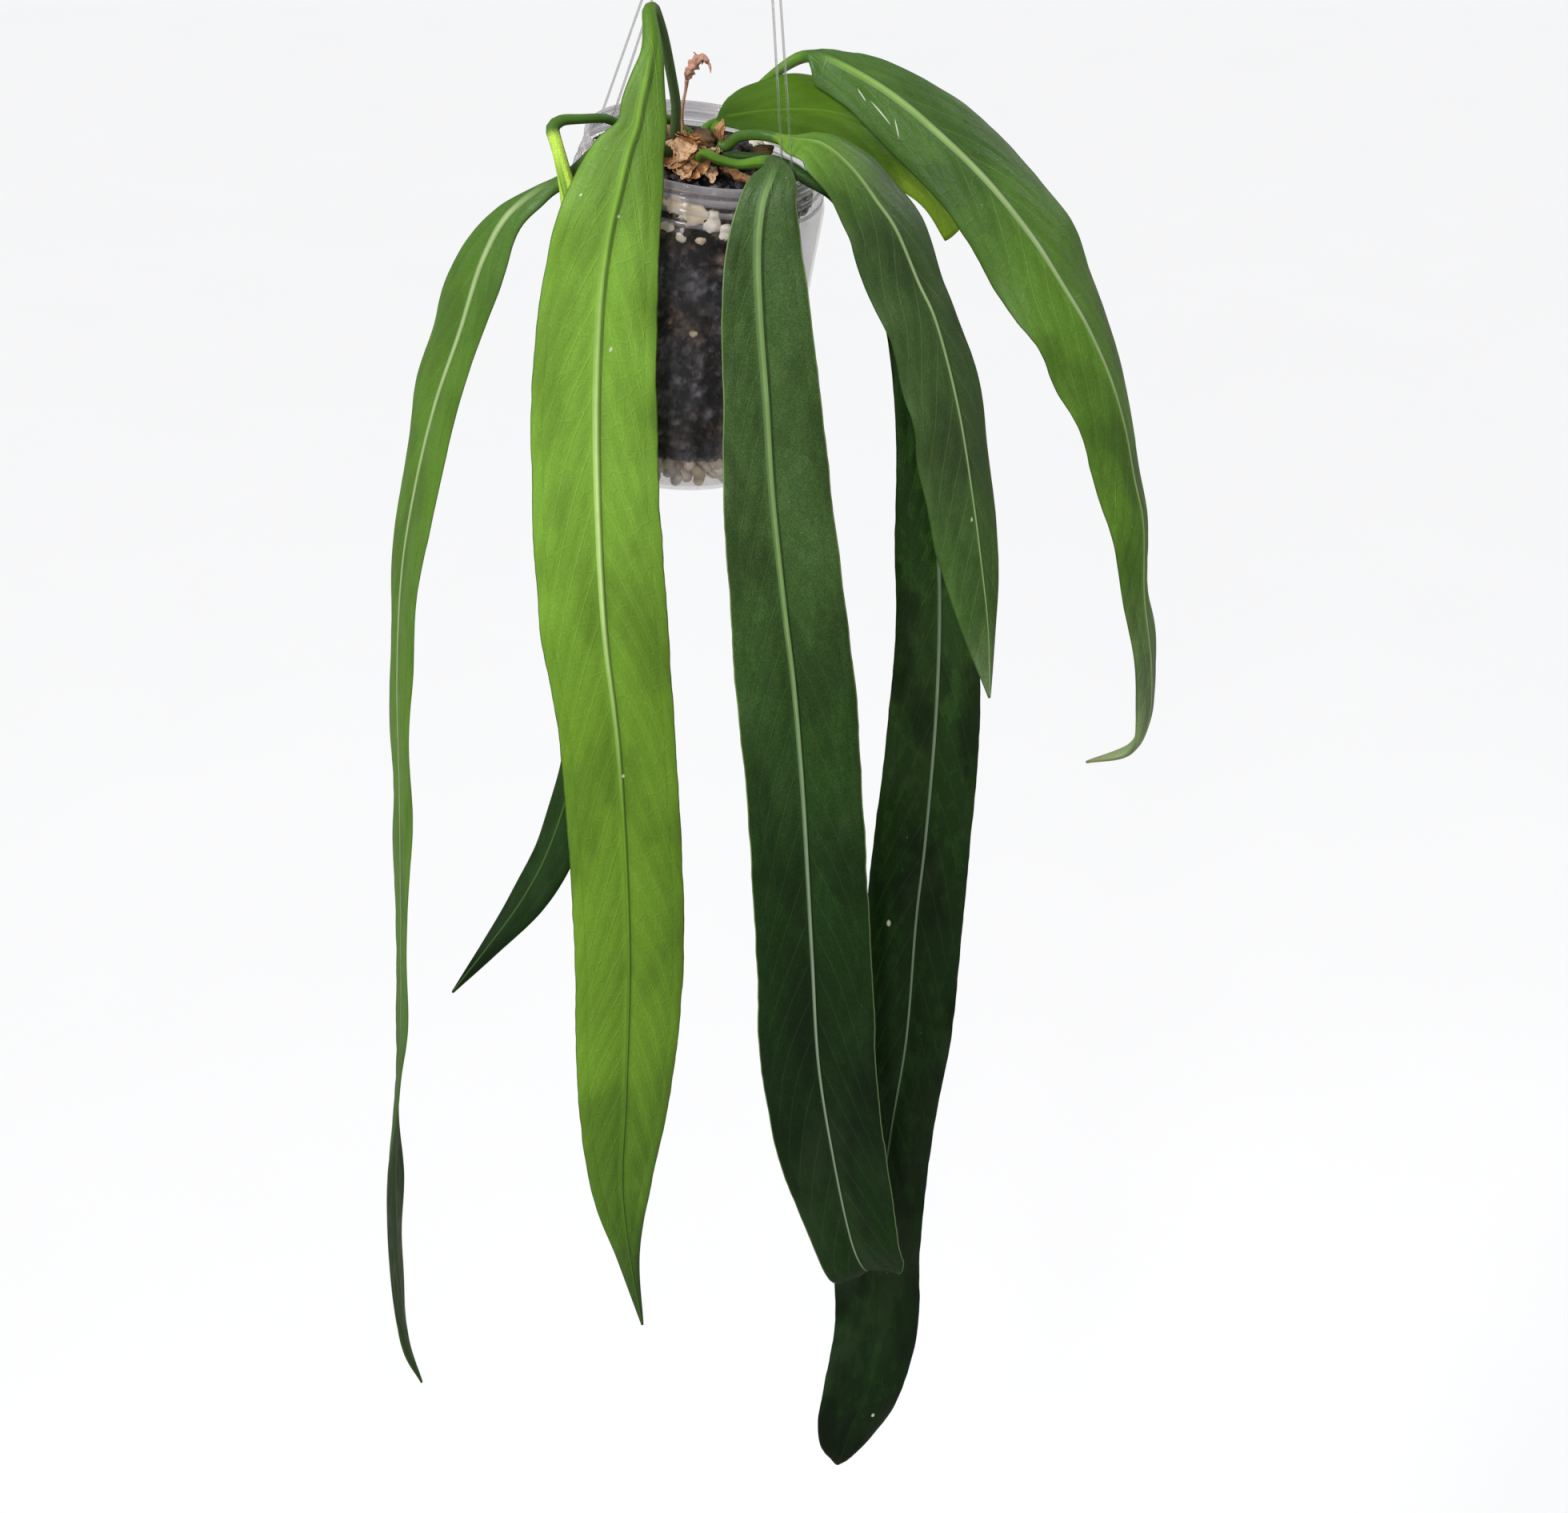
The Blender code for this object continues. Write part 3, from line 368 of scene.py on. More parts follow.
def turns_of(sides):
    """The angles of so many sides, in radians."""
    return np.arange(sides) * 2 * math.pi / sides


def under_hook(rows):
    """Rows of the plant's own frame, moved to where the plant hangs."""
    return [(*np.add(row[:3], PLANT_AT), *row[3:]) for row in rows]


def noise_at(points, size, seed):
    """Smooth noise from -1 to 1 at points in millimetres, with bumps about size across."""
    shift = Vector((seed * 13.7, seed * 7.3, seed * 3.1))
    return np.array([noise.noise(Vector(p) / size + shift) for p in np.asarray(points, float)])


def wander(*numbers):
    """Smooth noise from -1 to 1 at three plain numbers, such as a seed and a step."""
    return noise.noise(Vector(numbers))


def smooth_rows(rows, spacing):
    """Rows of numbers on one smooth curve through the given rows, about evenly spaced."""
    rows = np.array(rows, float)
    ends = np.vstack([2 * rows[0] - rows[1], rows, 2 * rows[-1] - rows[-2]])
    out = []
    for i in range(1, len(ends) - 2):
        before, start, end, after = ends[i - 1:i + 3]
        length = np.linalg.norm(end[:3] - start[:3])
        steps = max(1, round(length / spacing))
        for t in np.arange(steps) / steps:
            out.append(0.5 * (2 * start + (end - before) * t
                              + (2 * before - 5 * start + 4 * end - after) * t ** 2
                              + (3 * start - before - 3 * end + after) * t ** 3))
    out.append(rows[-1])
    return np.array(out)


def tangents(points):
    along = np.gradient(points, axis=0)
    return along / np.linalg.norm(along, axis=1)[:, None]


def square_to(vector, tangent):
    flat = vector - tangent * np.dot(vector, tangent)
    return flat / np.linalg.norm(flat)


def side_vector(tangent, azimuth, dip):
    turn, drop = math.radians(azimuth), math.radians(dip)
    level = math.cos(drop)
    return square_to(np.array([math.cos(turn) * level, math.sin(turn) * level, -math.sin(drop)]), tangent)


def grid_faces(rows, columns, wrap=False):
    """Quads of a grid of points listed row by row; wrap joins each row's last point to its first."""
    last = columns if wrap else columns - 1
    return [(i * columns + j, i * columns + (j + 1) % columns, (i + 1) * columns + (j + 1) % columns,
             (i + 1) * columns + j) for i in range(rows - 1) for j in range(last)]


def closed_faces(rings, sides):
    """Faces of a body whose points stand in rings: quads between them and a cap on each end."""
    caps = [tuple(range(sides))[::-1], tuple(range((rings - 1) * sides, rings * sides))]
    return grid_faces(rings, sides, wrap=True) + caps


def tube(rows, sides, bumps=0.0, bump_size=1.0, seed=0):
    """Points and faces of a round body through rows of x, y, z and radius, with closed ends."""
    rows = np.array(rows, float)
    along = tangents(rows[:, :3])
    side = square_to(np.array([0.3, 0.95, 0.1]), along[0])
    points = []
    for row, tangent in zip(rows, along):
        side = square_to(side, tangent)
        up = np.cross(tangent, side)
        for a in turns_of(sides):
            out = side * math.cos(a) + up * math.sin(a)
            reach = row[3]
            if bumps:
                reach *= 1 + bumps * noise.noise(Vector(row[:3] + out * row[3]) / bump_size
                                                 + Vector((seed, seed * 2.3, 0)))
            points.append(row[:3] + out * reach)
    return points, closed_faces(len(rows), sides)


def ribbon(rows, across, thickness, crumple, curl, seed, columns):
    """Points and faces of a thin closed strip: rows of x, y, z and half-width, across its width direction."""
    rows = np.array(rows, float)
    top, bottom = [], []
    for row, tangent in zip(rows, tangents(rows[:, :3])):
        side = square_to(np.array(across, float), tangent)
        up = np.cross(tangent, side)
        for s in np.linspace(-1, 1, columns):
            middle = row[:3] + side * s * row[3] + up * (curl * row[3] * s * s)
            lift = crumple * (noise.noise(Vector(middle) / 4 + Vector((seed * 5.1, 0, 0)))
                              + 0.5 * noise.noise(Vector(middle) / 1.7 + Vector((0, seed * 3.3, 0))))
            half = thickness / 2 * (0.35 if abs(s) == 1 else 1)
            top.append(middle + up * (lift + half))
            bottom.append(middle + up * (lift - half))
    count = len(top)
    faces = grid_faces(len(rows), columns)
    faces += [tuple(count + i for i in reversed(f)) for f in faces]
    rim = list(range(columns)) + [i * columns + columns - 1 for i in range(1, len(rows))]
    rim += [count - 1 - j for j in range(1, columns)] + [i * columns for i in range(len(rows) - 2, 0, -1)]
    faces += [(b, a, count + a, count + b) for a, b in zip(rim, rim[1:] + rim[:1])]
    return top + bottom, faces


def joined(shapes):
    """Several (points, faces) as one, with the index of the shape that each face comes from."""
    points, faces, source = [], [], []
    for k, (some, theirs) in enumerate(shapes):
        faces += [tuple(len(points) + i for i in face) for face in theirs]
        points += [tuple(p) for p in some]
        source += [k] * len(theirs)
    return points, faces, source


def lumpy_ball(centre, half, turn, seed, roughness=0.16):
    """Points and faces of an irregular stone: a ball pulled to its half sizes and roughened."""
    shape = bmesh.new()
    bmesh.ops.create_icosphere(shape, subdivisions=3, radius=1)
    turned = Matrix.Rotation(turn, 3, "Z") @ Matrix.Rotation(turn * 1.7, 3, "X")
    points = []
    for v in shape.verts:
        swell = 1 + roughness * noise.noise(v.co * 1.4 + Vector((seed * 1.9, seed * 0.7, seed * 2.9)))
        swell += 0.4 * roughness * noise.noise(v.co * 3.7 + Vector((seed, 0, seed)))
        pulled = Vector([c * h for c, h in zip(v.co * swell, half)])
        points.append(np.array(centre) + np.array(turned @ pulled))
    faces = [tuple(v.index for v in f.verts) for f in shape.faces]
    shape.free()
    return points, faces


def stem_radius(height):
    """The stem swells a little at its foot and is narrower over its shoulder."""
    share = height / STEM_HEIGHT
    if share < STEM_SHOULDER:
        return STEM_RADIUS * (STEM_SWELL - STEM_TAPER * share)
    return STEM_RADIUS * STEM_TOP


def stem_point(angle, height, out):
    """A point that stands out from the stem's side, in row millimetres."""
    x, y, z = around(stem_radius(height) + out, math.radians(angle), height)
    return in_pot(STEM_PLACE[0] + x, STEM_PLACE[1] + y, -SUBSTRATE_DEPTH + GAP + z)


def dry_finish(name, light, dark, grain_mm, stretch, bump_mm, glow=0.0, roughness=0.8):
    """Dead plant tissue: fibres of two browns with dark flecks, dull, and thin tissue lets light through."""
    made, node = new_material(name)
    place = node("TexCoord", out=3)
    grain = node("Mapping", {0: place, 3: stretch})
    fibre = node("TexNoise", {0: grain, 2: 1 / (grain_mm * MM), 3: 4.0, 4: 0.65})
    # Stains some 7 mm across.
    patch = node("TexNoise", {0: place, 2: 1 / 0.007, 3: 2.0, 4: 0.55})
    colour = node("ValToRGB", {0: fibre}, stops=((0.3, dark), (0.5, light), (0.75, light)))
    stained = node("Mix", {0: 1.0, 6: colour, 7: "#8a6a50"}, **TINT)
    stain = node("MapRange", {0: patch, 1: 0.5, 2: 0.68, 3: 0.0, 4: 0.7})
    colour = node("Mix", {0: stain, 6: colour, 7: stained}, **BLEND)
    bump = node("Bump", {"Height": fibre, "Distance": bump_mm * MM, "Strength": 0.8})
    solid = node("BsdfPrincipled", {"Base Color": colour, "Roughness": roughness, "Specular IOR Level": 0.25,
                                    "Normal": bump})
    if glow:
        through = node("BsdfTranslucent", {0: colour, "Normal": bump})
        solid = node("MixShader", {0: glow, 1: solid, 2: through})
    node("OutputMaterial", {0: solid})
    return made


# Dead sheath tissue that hangs from the stem over the mix: angle, heights and reaches of its two ends, and
# half-width.
DEAD_TISSUE = (
    (236, 9, 3, 2.5, 18, 6.5), (226, 8, 2.5, 3, 17, 5.5), (248, 8, 2, 3, 18, 5.5), (254, 6, 1.5, 5, 22, 4.2),
    (216, 5, 1.5, 4, 17, 4.6), (240, 13, 7, 2.5, 14, 5.5), (262, 3.5, 1.2, 7, 20, 3.2),
    (208, 10, 6, 2.5, 13, 4), (270, 10, 3, 3, 14, 4.5), (284, 4, 1.4, 4, 20, 3), (318, 3, 1.4, 6, 28, 2.6),
    (326, 2, 1, 10, 26, 2.2), (5, 12, 17, 2.5, 12, 2.4), (352, 8, 14, 4, 10, 1.8), (100, 6, 2, 3, 13, 3),
    (150, 5, 2, 3, 15, 3.4), (185, 3, 1.5, 4, 16, 4))


def across_from(turn):
    """The direction level with the mix that runs along the stem's side at an angle."""
    return np.array(pot_frame().to_3x3() @ Vector((-math.sin(turn), math.cos(turn), 0)))


def dead_tissue():
    """Crumpled strips of dead sheath, each from the stem's side down on the mix."""
    strips = []
    for k, (angle, high, low, near, far, half) in enumerate(DEAD_TISSUE):
        rows = []
        for step, share in enumerate(np.arange(8) / 7):
            height = high + (low - high) * share ** 1.4 + 1.3 * wander(k * 3.3, step * 0.9, 2)
            out = near + (far - near) * share
            place = stem_point(angle + 9 * wander(k * 1.3, step * 0.7, 9), height, out)
            width = half * (0.75 + 0.5 * math.sin(math.pi * share) - 0.5 * share ** 3)
            rows.append((*place, max(0.3, width)))
        across = across_from(math.radians(angle))
        strips.append(ribbon(smooth_rows(rows, 0.7), across, 0.3, 1.5, 0.4, seed=40 + k, columns=23))
    return strips


def rootlets():
    """Thin dead roots that come out of the stem and lie down on the mix."""
    roots = []
    for k in range(16):
        angle = 23 * k + 17 * math.sin(k * 2.1)
        rows = []
        for step, share in enumerate(np.arange(9) / 8):
            height = 9.5 * (1 - share) ** 1.5 + 0.6
            out = 0.6 + 9 * share ** 1.6 + 1.2 * wander(k * 3.1, step * 0.8, 0)
            place = stem_point(angle + 16 * wander(k * 1.7, step * 0.6, 5), height, out)
            rows.append((*place, 0.55 * (1 - 0.7 * share) * (1 + 0.2 * math.sin(k))))
        roots.append(tube(smooth_rows(rows, 1.4), sides=8, bumps=0.2, bump_size=1.5, seed=k))
    return roots


def build_crown():
    """Corky stem with leaf scars, and the rootlets and dead sheaths that hang over its foot."""
    profile = [(0.01, STEM_HEIGHT), (2.5, STEM_HEIGHT - 0.1), (4.6, STEM_HEIGHT - 0.8)]
    profile += [(stem_radius(h), h) for h in np.linspace(STEM_HEIGHT * 0.9, 0.4, 26)] + [(0.01, 0.2)]
    points, faces = lathe(profile, 72)
    points = np.array(points)
    reach = np.hypot(points[:, 0], points[:, 1])
    turn = np.arctan2(points[:, 1], points[:, 0])
    # Leaf scars wind round the stem 3.4 mm apart, between coarse and fine cork.
    scars = np.abs(np.sin(points[:, 2] / 3.4 * math.pi + turn)) ** 6
    coarse, fine = 0.5 + 0.5 * noise_at(points, 2.2, 3), 0.5 + 0.5 * noise_at(points, 0.9, 4)
    inward = 0.9 * scars + 1.2 * coarse + 0.5 * fine
    points[:, :2] *= (1 - np.minimum(inward, reach * 0.5) / np.maximum(reach, 0.01))[:, None]
    points = all_in_pot(points + (*STEM_PLACE, -SUBSTRATE_DEPTH + GAP))
    roots, tissue = rootlets(), dead_tissue()
    kinds = [0] + [1] * len(roots) + [2 + k % 2 for k in range(len(tissue))]
    points, faces, source = joined([(points, faces)] + roots + tissue)
    finishes = [dry_finish("corky_stem_bark", "#6f5b41", "#2f2418", 1.6, (1, 1, 0.6), 0.6),
                dry_finish("old_root", "#54422f", "#2a2018", 1.2, (1, 1, 0.4), 0.3),
                dry_finish("crumpled_sheath_paper", "#e0a974", "#935c2e", 1.1, (1, 1, 0.3), 0.3, 0.25, 0.5),
                dry_finish("bleached_sheath_paper", "#ecc8a0", "#a86c3a", 1.1, (1, 1, 0.3), 0.3, 0.25, 0.5)]
    mesh_piece("corky_crown", points, faces, finishes, "crown_stem", [kinds[k] for k in source])


# The layers of a sheath: each one's share of its size, how far it lies to the side and how far it stands off.
SHEATH_LAYERS = ((1, 0, 0), (0.85, 0.7, 0.5), (0.8, -0.8, 0.9), (0.6, 1.25, 1.3), (0.55, -1.3, 1.5))


def sheath(angle, height, width, rise, lean, seed):
    """A dead leaf sheath: crumpled brittle paper on three ribs, torn to a point."""
    turn = math.radians(angle)
    turned_out = np.array(pot_frame().to_3x3() @ Vector(around(1, turn)))
    across = across_from(turn)
    strips = []
    for layer, (part, shift, lift) in enumerate(SHEATH_LAYERS):
        rows = []
        for share, spread, out in SHEATH_SHAPE:
            off_stem = GAP + 0.6 + 0.4 * lift + out * lean * part
            place = stem_point(angle, height + share * rise * part, off_stem)
            place = place + across * width * shift * (0.4 + 0.6 * share) + turned_out * 0.25 * layer
            rows.append((*place, max(0.35, 1.15 * width * spread * part)))
        strips.append(ribbon(smooth_rows(rows, 0.7), across, 0.28, 1.5, 0.35, seed + 3 * layer, columns=19))
    for k in range(3):
        rows = []
        for step, share in enumerate(np.arange(6) / 5):
            place = stem_point(angle, height + share * rise * 0.9, GAP + 0.8 + share ** 1.5 * lean * 0.9)
            place = place + across * width * (0.6 * (k - 1) + 0.35 * wander(k * 2.7 + seed, step * 0.5, 0))
            rows.append((*place, 0.28 * (1 - 0.6 * share)))
        strips.append(tube(smooth_rows(rows, 1.0), sides=6, bumps=0.2, bump_size=1, seed=seed + k))
    return joined(strips)


def build_sheaths():
    """The four dead sheaths that stand up or lean out from the stem."""
    paper = dry_finish("dead_sheath_paper", "#dfb380", "#a87848", 1.1, (1, 1, 0.3), 0.3, 0.3, 0.7)
    pale = dry_finish("pale_sheath_paper", "#e6cda4", "#b89264", 1.1, (1, 1, 0.3), 0.3, 0.35, 0.7)
    for seed, (name, row) in enumerate(SHEATHS.items()):
        points, faces, _ = sheath(*row, seed)
        title = name.replace("dried_sheath", "paper_sheath")
        mesh_piece(title, points, faces, [pale if name.endswith("back") else paper], name)


def build_chips():
    """Loose chips of pine bark on the mix: split along the grain, their edges broken off flat."""
    bark = dry_finish("pine_bark", "#9c7a58", "#2e2118", 1.8, (1, 0.35, 2.6), 0.9)
    for seed, (name, (place, turn, size)) in enumerate(BARK_CHIPS.items()):
        shape = bmesh.new()
        bmesh.ops.create_cube(shape, size=2)
        bmesh.ops.subdivide_edges(shape, edges=shape.edges, cuts=17, use_grid_fill=True)
        points = np.array([v.co for v in shape.verts])
        faces = [tuple(v.index for v in f.verts) for f in shape.faces]
        shape.free()
        squared = points / np.maximum(np.linalg.norm(points, ord=5, axis=1), 1e-6)[:, None]
        points = squared * np.array(size)
        for k in range(14):
            turn_a, turn_b = 2.4 * k + seed, 1.1 * math.sin(1.7 * k + seed)
            face = np.array(around(math.cos(turn_b), turn_a, math.sin(turn_b)))
            reach = np.linalg.norm(face * np.array(size)) * (0.72 + 0.12 * math.sin(3.1 * k + seed))
            points = points - np.maximum(points @ face - reach, 0)[:, None] * face
        layers = noise_at(points * (0.25, 0.5, 1.6), 1.6, seed)
        lumps = noise_at(points, 4.5, seed + 20)
        points = points * (0.9 + 0.1 * lumps[:, None]) * (0.94 + 0.06 * layers[:, None])
        points[:, 2] = points[:, 2] * (1 - 0.16 * (np.abs(points[:, 0]) / size[0]) ** 2)
        spin = math.radians(turn)
        spun = np.stack([points[:, 0] * math.cos(spin) - points[:, 1] * math.sin(spin),
                         points[:, 0] * math.sin(spin) + points[:, 1] * math.cos(spin), points[:, 2]], axis=1)
        # A chip is pressed 0.2 mm into the room that is left under it.
        laid = all_in_pot(spun + (*place, -SUBSTRATE_DEPTH + GAP + size[2] - 0.2))
        mesh_piece(name.replace("bark_chip", "pine_bark_chip"), laid, faces, [bark], name)


# Torn wisps of the flower's head: the head's row that each starts from, and where its tip is from there.
WISPS = ((3, (-2.2, -1.5, 4.5)), (5, (1.5, -2.2, -4.5)), (4, (-1.0, 2.4, -3.5)))


def build_flower():
    """Last year's flower: a dry thread of a stalk with its crumpled head hooked over."""
    foot = stem_point(FLOWER_ANGLE, FLOWER_HEIGHT, STEM_CLEARANCE)
    out = stem_point(FLOWER_ANGLE, FLOWER_HEIGHT + 0.5, FLOWER_STEP)
    rows = [(*foot, FLOWER[0][3]), (*out, FLOWER[0][3])] + under_hook(FLOWER)
    split = len(rows) - FLOWER_HEAD_ROWS
    stalk = tube(smooth_rows(rows[:split + 1], 1.0), sides=12, bumps=0.15, bump_size=2.0, seed=1)
    head = [(x, y, z, r * 0.9) for x, y, z, r in rows[split:]]
    crumpled = tube(smooth_rows(head, 0.45), sides=24, bumps=0.85, bump_size=2.1, seed=2)
    wisps = []
    for k, (start, tip) in enumerate(WISPS):
        base, tip = np.array(head[start][:3]), np.array(tip)
        ends = [base, base + tip * 0.5 + (0.5, -0.4, 0.4), base + tip]
        thin = [(*p, r) for p, r in zip(ends, (0.8, 0.6, 0.2))]
        wisps.append(tube(smooth_rows(thin, 0.5), sides=8, bumps=0.5, bump_size=1.2, seed=10 + k))
    points, faces, source = joined([stalk, crumpled] + wisps)
    finishes = [dry_finish("dry_flower_stalk", "#cfa288", "#96704f", 1.0, (1, 1, 0.2), 0.2),
                dry_finish("shrivelled_spathe", "#cf9f88", "#7a5444", 0.9, (1, 1, 0.6), 0.4, 0.15)]
    mesh_piece("shrivelled_flower", points, faces, finishes, "dried_flower_stalk",
               [min(1, k) for k in source])


def build_leaves():
    """The eight leaves, each with the maps that its finish is drawn by."""
    for name, data in LEAVES.items():
        look = COMMON_LOOK | LEAF_LOOKS[name]
        points, faces, maps = leaf_shape(data, look)
        skin = leaf_finish("waxy_" + name, look)
        leaf = mesh_piece("strap_" + name, points, faces, [skin], name)
        for title, (u, v) in maps.items():
            lay_map(leaf.data, title, u, v)


def clear_nylon():
    """Drawn nylon line: clear and glossy, with the faint lengthwise streaks of its drawing."""
    made, node = new_material("drawn_clear_nylon")
    place = node("TexCoord", out=3)
    drawn = node("Mapping", {0: place, 3: (1, 1, 0.05)})
    streak = node("TexNoise", {0: drawn, 2: 1 / 0.0005, 3: 1.0})
    tint = node("ValToRGB", {0: streak}, stops=((0.3, "#e9ecee"), (0.7, "#fafbfb")))
    bump = node("Bump", {"Height": streak, "Distance": 0.03 * MM, "Strength": 0.5})
    node("OutputMaterial", {0: node("BsdfPrincipled", {
        "Base Color": tint, "Roughness": 0.08, "IOR": 1.53, "Transmission Weight": 0.96, "Alpha": 0.5,
        "Normal": bump})})
    return made


def cord_route(side):
    """From the hub down outside the lip, in through the hole, and up inside the lip to the hub."""
    turn = math.radians(HOLE_ANGLES[side])
    end_turn = math.radians(CORD_END_ANGLES[side])
    outer_end, inner_end = [around(r, end_turn, CORD_TOP) for r in CORD_END_RADII]
    bend = [(CORD_BEND * (1 - math.cos(a)), HOLE_DEPTH - CORD_BEND * (1 - math.sin(a)))
            for a in np.radians((0, 30, 60, 90))]
    outside = [in_pot(*around(CORD_OUTSIDE - back, turn, -depth)) for back, depth in bend]
    inside = [in_pot(*around(CORD_INSIDE + back, turn, -depth)) for back, depth in reversed(bend)]
    return [outer_end] + outside + inside + [inner_end]


def build_cords():
    """The two clear cords, taut from the hook's plate round through the pot's lip."""
    finish = clear_nylon()
    diameter = settings().hanger.cord_diameter
    for side in HOLE_ANGLES:
        route = np.array(cord_route(side)) * MM
        curve = bpy.data.curves.new("nylon_cord_" + side, "CURVE")
        curve.dimensions = "3D"
        curve.bevel_depth = diameter * MM / 2
        curve.bevel_resolution = 4
        curve.use_fill_caps = True
        spline = curve.splines.new("POLY")
        spline.points.add(len(route) - 1)
        for point, place in zip(spline.points, route):
            point.co = (*place, 1)
        cord = place_piece("nylon_cord_" + side, curve, [finish], "hanger_cord_" + side)


def moulded_clear_plastic():
    """Injection-moulded clear polycarbonate: glossy with faint flow lines."""
    made, node = new_material("moulded_clear_polycarbonate")
    place = node("TexCoord", out=3)
    flow = node("TexNoise", {0: node("Mapping", {0: place, 3: (0.3, 1, 0.3)}), 2: 1 / 0.006, 3: 2.0, 8: 1.5})
    tint = node("ValToRGB", {0: flow}, stops=((0.35, "#dfe6ea"), (0.65, "#f2f6f8")))
    bump = node("Bump", {"Height": flow, "Distance": 0.12 * MM, "Strength": 0.5})
    node("OutputMaterial", {0: node("BsdfPrincipled", {
        "Base Color": tint, "Roughness": node("MapRange", {0: flow, 3: 0.1, 4: 0.24}), "IOR": 1.58,
        "Transmission Weight": 0.9, "Normal": bump})})
    return made


def build_hook():
    """A round wire moulded to a hook with a rounded end, on the plate that takes the cord ends."""
    half = HOOK_WIRE / 2
    radius, centre = HOOK_INNER_RADIUS + half, -HOOK_INNER_RADIUS
    foot = centre - radius
    turns = np.radians(np.arange(HOOK_START, HOOK_END + 1, 5))
    bends = [(t, half) for t in turns]
    # The wire rounds off over the last 3.2 degrees of its bend.
    for swing in np.radians((20, 40, 60, 75, 86)):
        bends.append((turns[-1] + math.radians(3.2 * math.sin(swing)), half * math.cos(swing)))
    rows = [(0, 0, foot - 9, half), (0, 0, foot - 5, half), (0.2, 0, foot - 0.9, half)]
    rows += [(radius * math.cos(t), 0, centre + radius * math.sin(t), r) for t, r in bends]
    top, bottom = HUB[0][1] + 0.2, HUB[-1][1]
    plate = lathe([(0.02, top), (4.2, top), *HUB, (16, bottom), (0.02, bottom)], 96)
    points, faces, _ = joined([tube(rows, 28), plate])
    mesh_piece("moulded_hook", points, faces, [moulded_clear_plastic()], "hanger_hook")


# This plant's greens by age: a leaf opens yellow-green, hardens to mid green, ends near black.
LEAF_GREENS = {
    "sprout": "#b8da50", "lime": "#80ae3c", "fern": "#7c9c5c", "fresh": "#709a2c", "meadow": "#5a8228",
    "grown": "#4a6e2c", "deep": "#3e582a", "bottle": "#2a461a", "old": "#16300c", "shade": "#0a2006",
    "sage": "#a4bc80", "silver": "#6c8458", "pale": "#c0e088", "ash": "#84987c", "painted_sheen": "#566c48",
    "straw": "#c8b070", "rust": "#8a6a3c",
}

# How each leaf looks, where it differs from COMMON_LOOK.
# down, rib: greens of blade and midrib, at shares of the length; down's darkening towards the tip is partly
# the leaf's own green, partly painted shade. petiole, under, edge: one green each.
# fold: degrees that both halves bend back, or up where it is negative.
# wave, wave_length, quilt, rib_width, rib_height: millimetres.
# facet_light: how much painted light falls on the upper end of each field between two side veins.
# blotch, grain, veins, painted_sheen: strength of the spots, the skin's speckle, the side veins and the
# patches of painted sheen.
# glow: share of the light that comes through. near_side: how dark the midrib's shaded side is.
# flank, flank_depth: where the midrib's shade falls beside it, in shares of its width, and how dark it is.
# marks: spots and scratches at across and along millimetres, with their turn, half length and half width.
COMMON_LOOK = {"edge": "bottle", "roughness": 0.42, "specular": 0.3, "glow": 0.1, "quilt": 0.4, "painted_sheen": 0.1,
               "near_side": 0.5, "marks": ()}
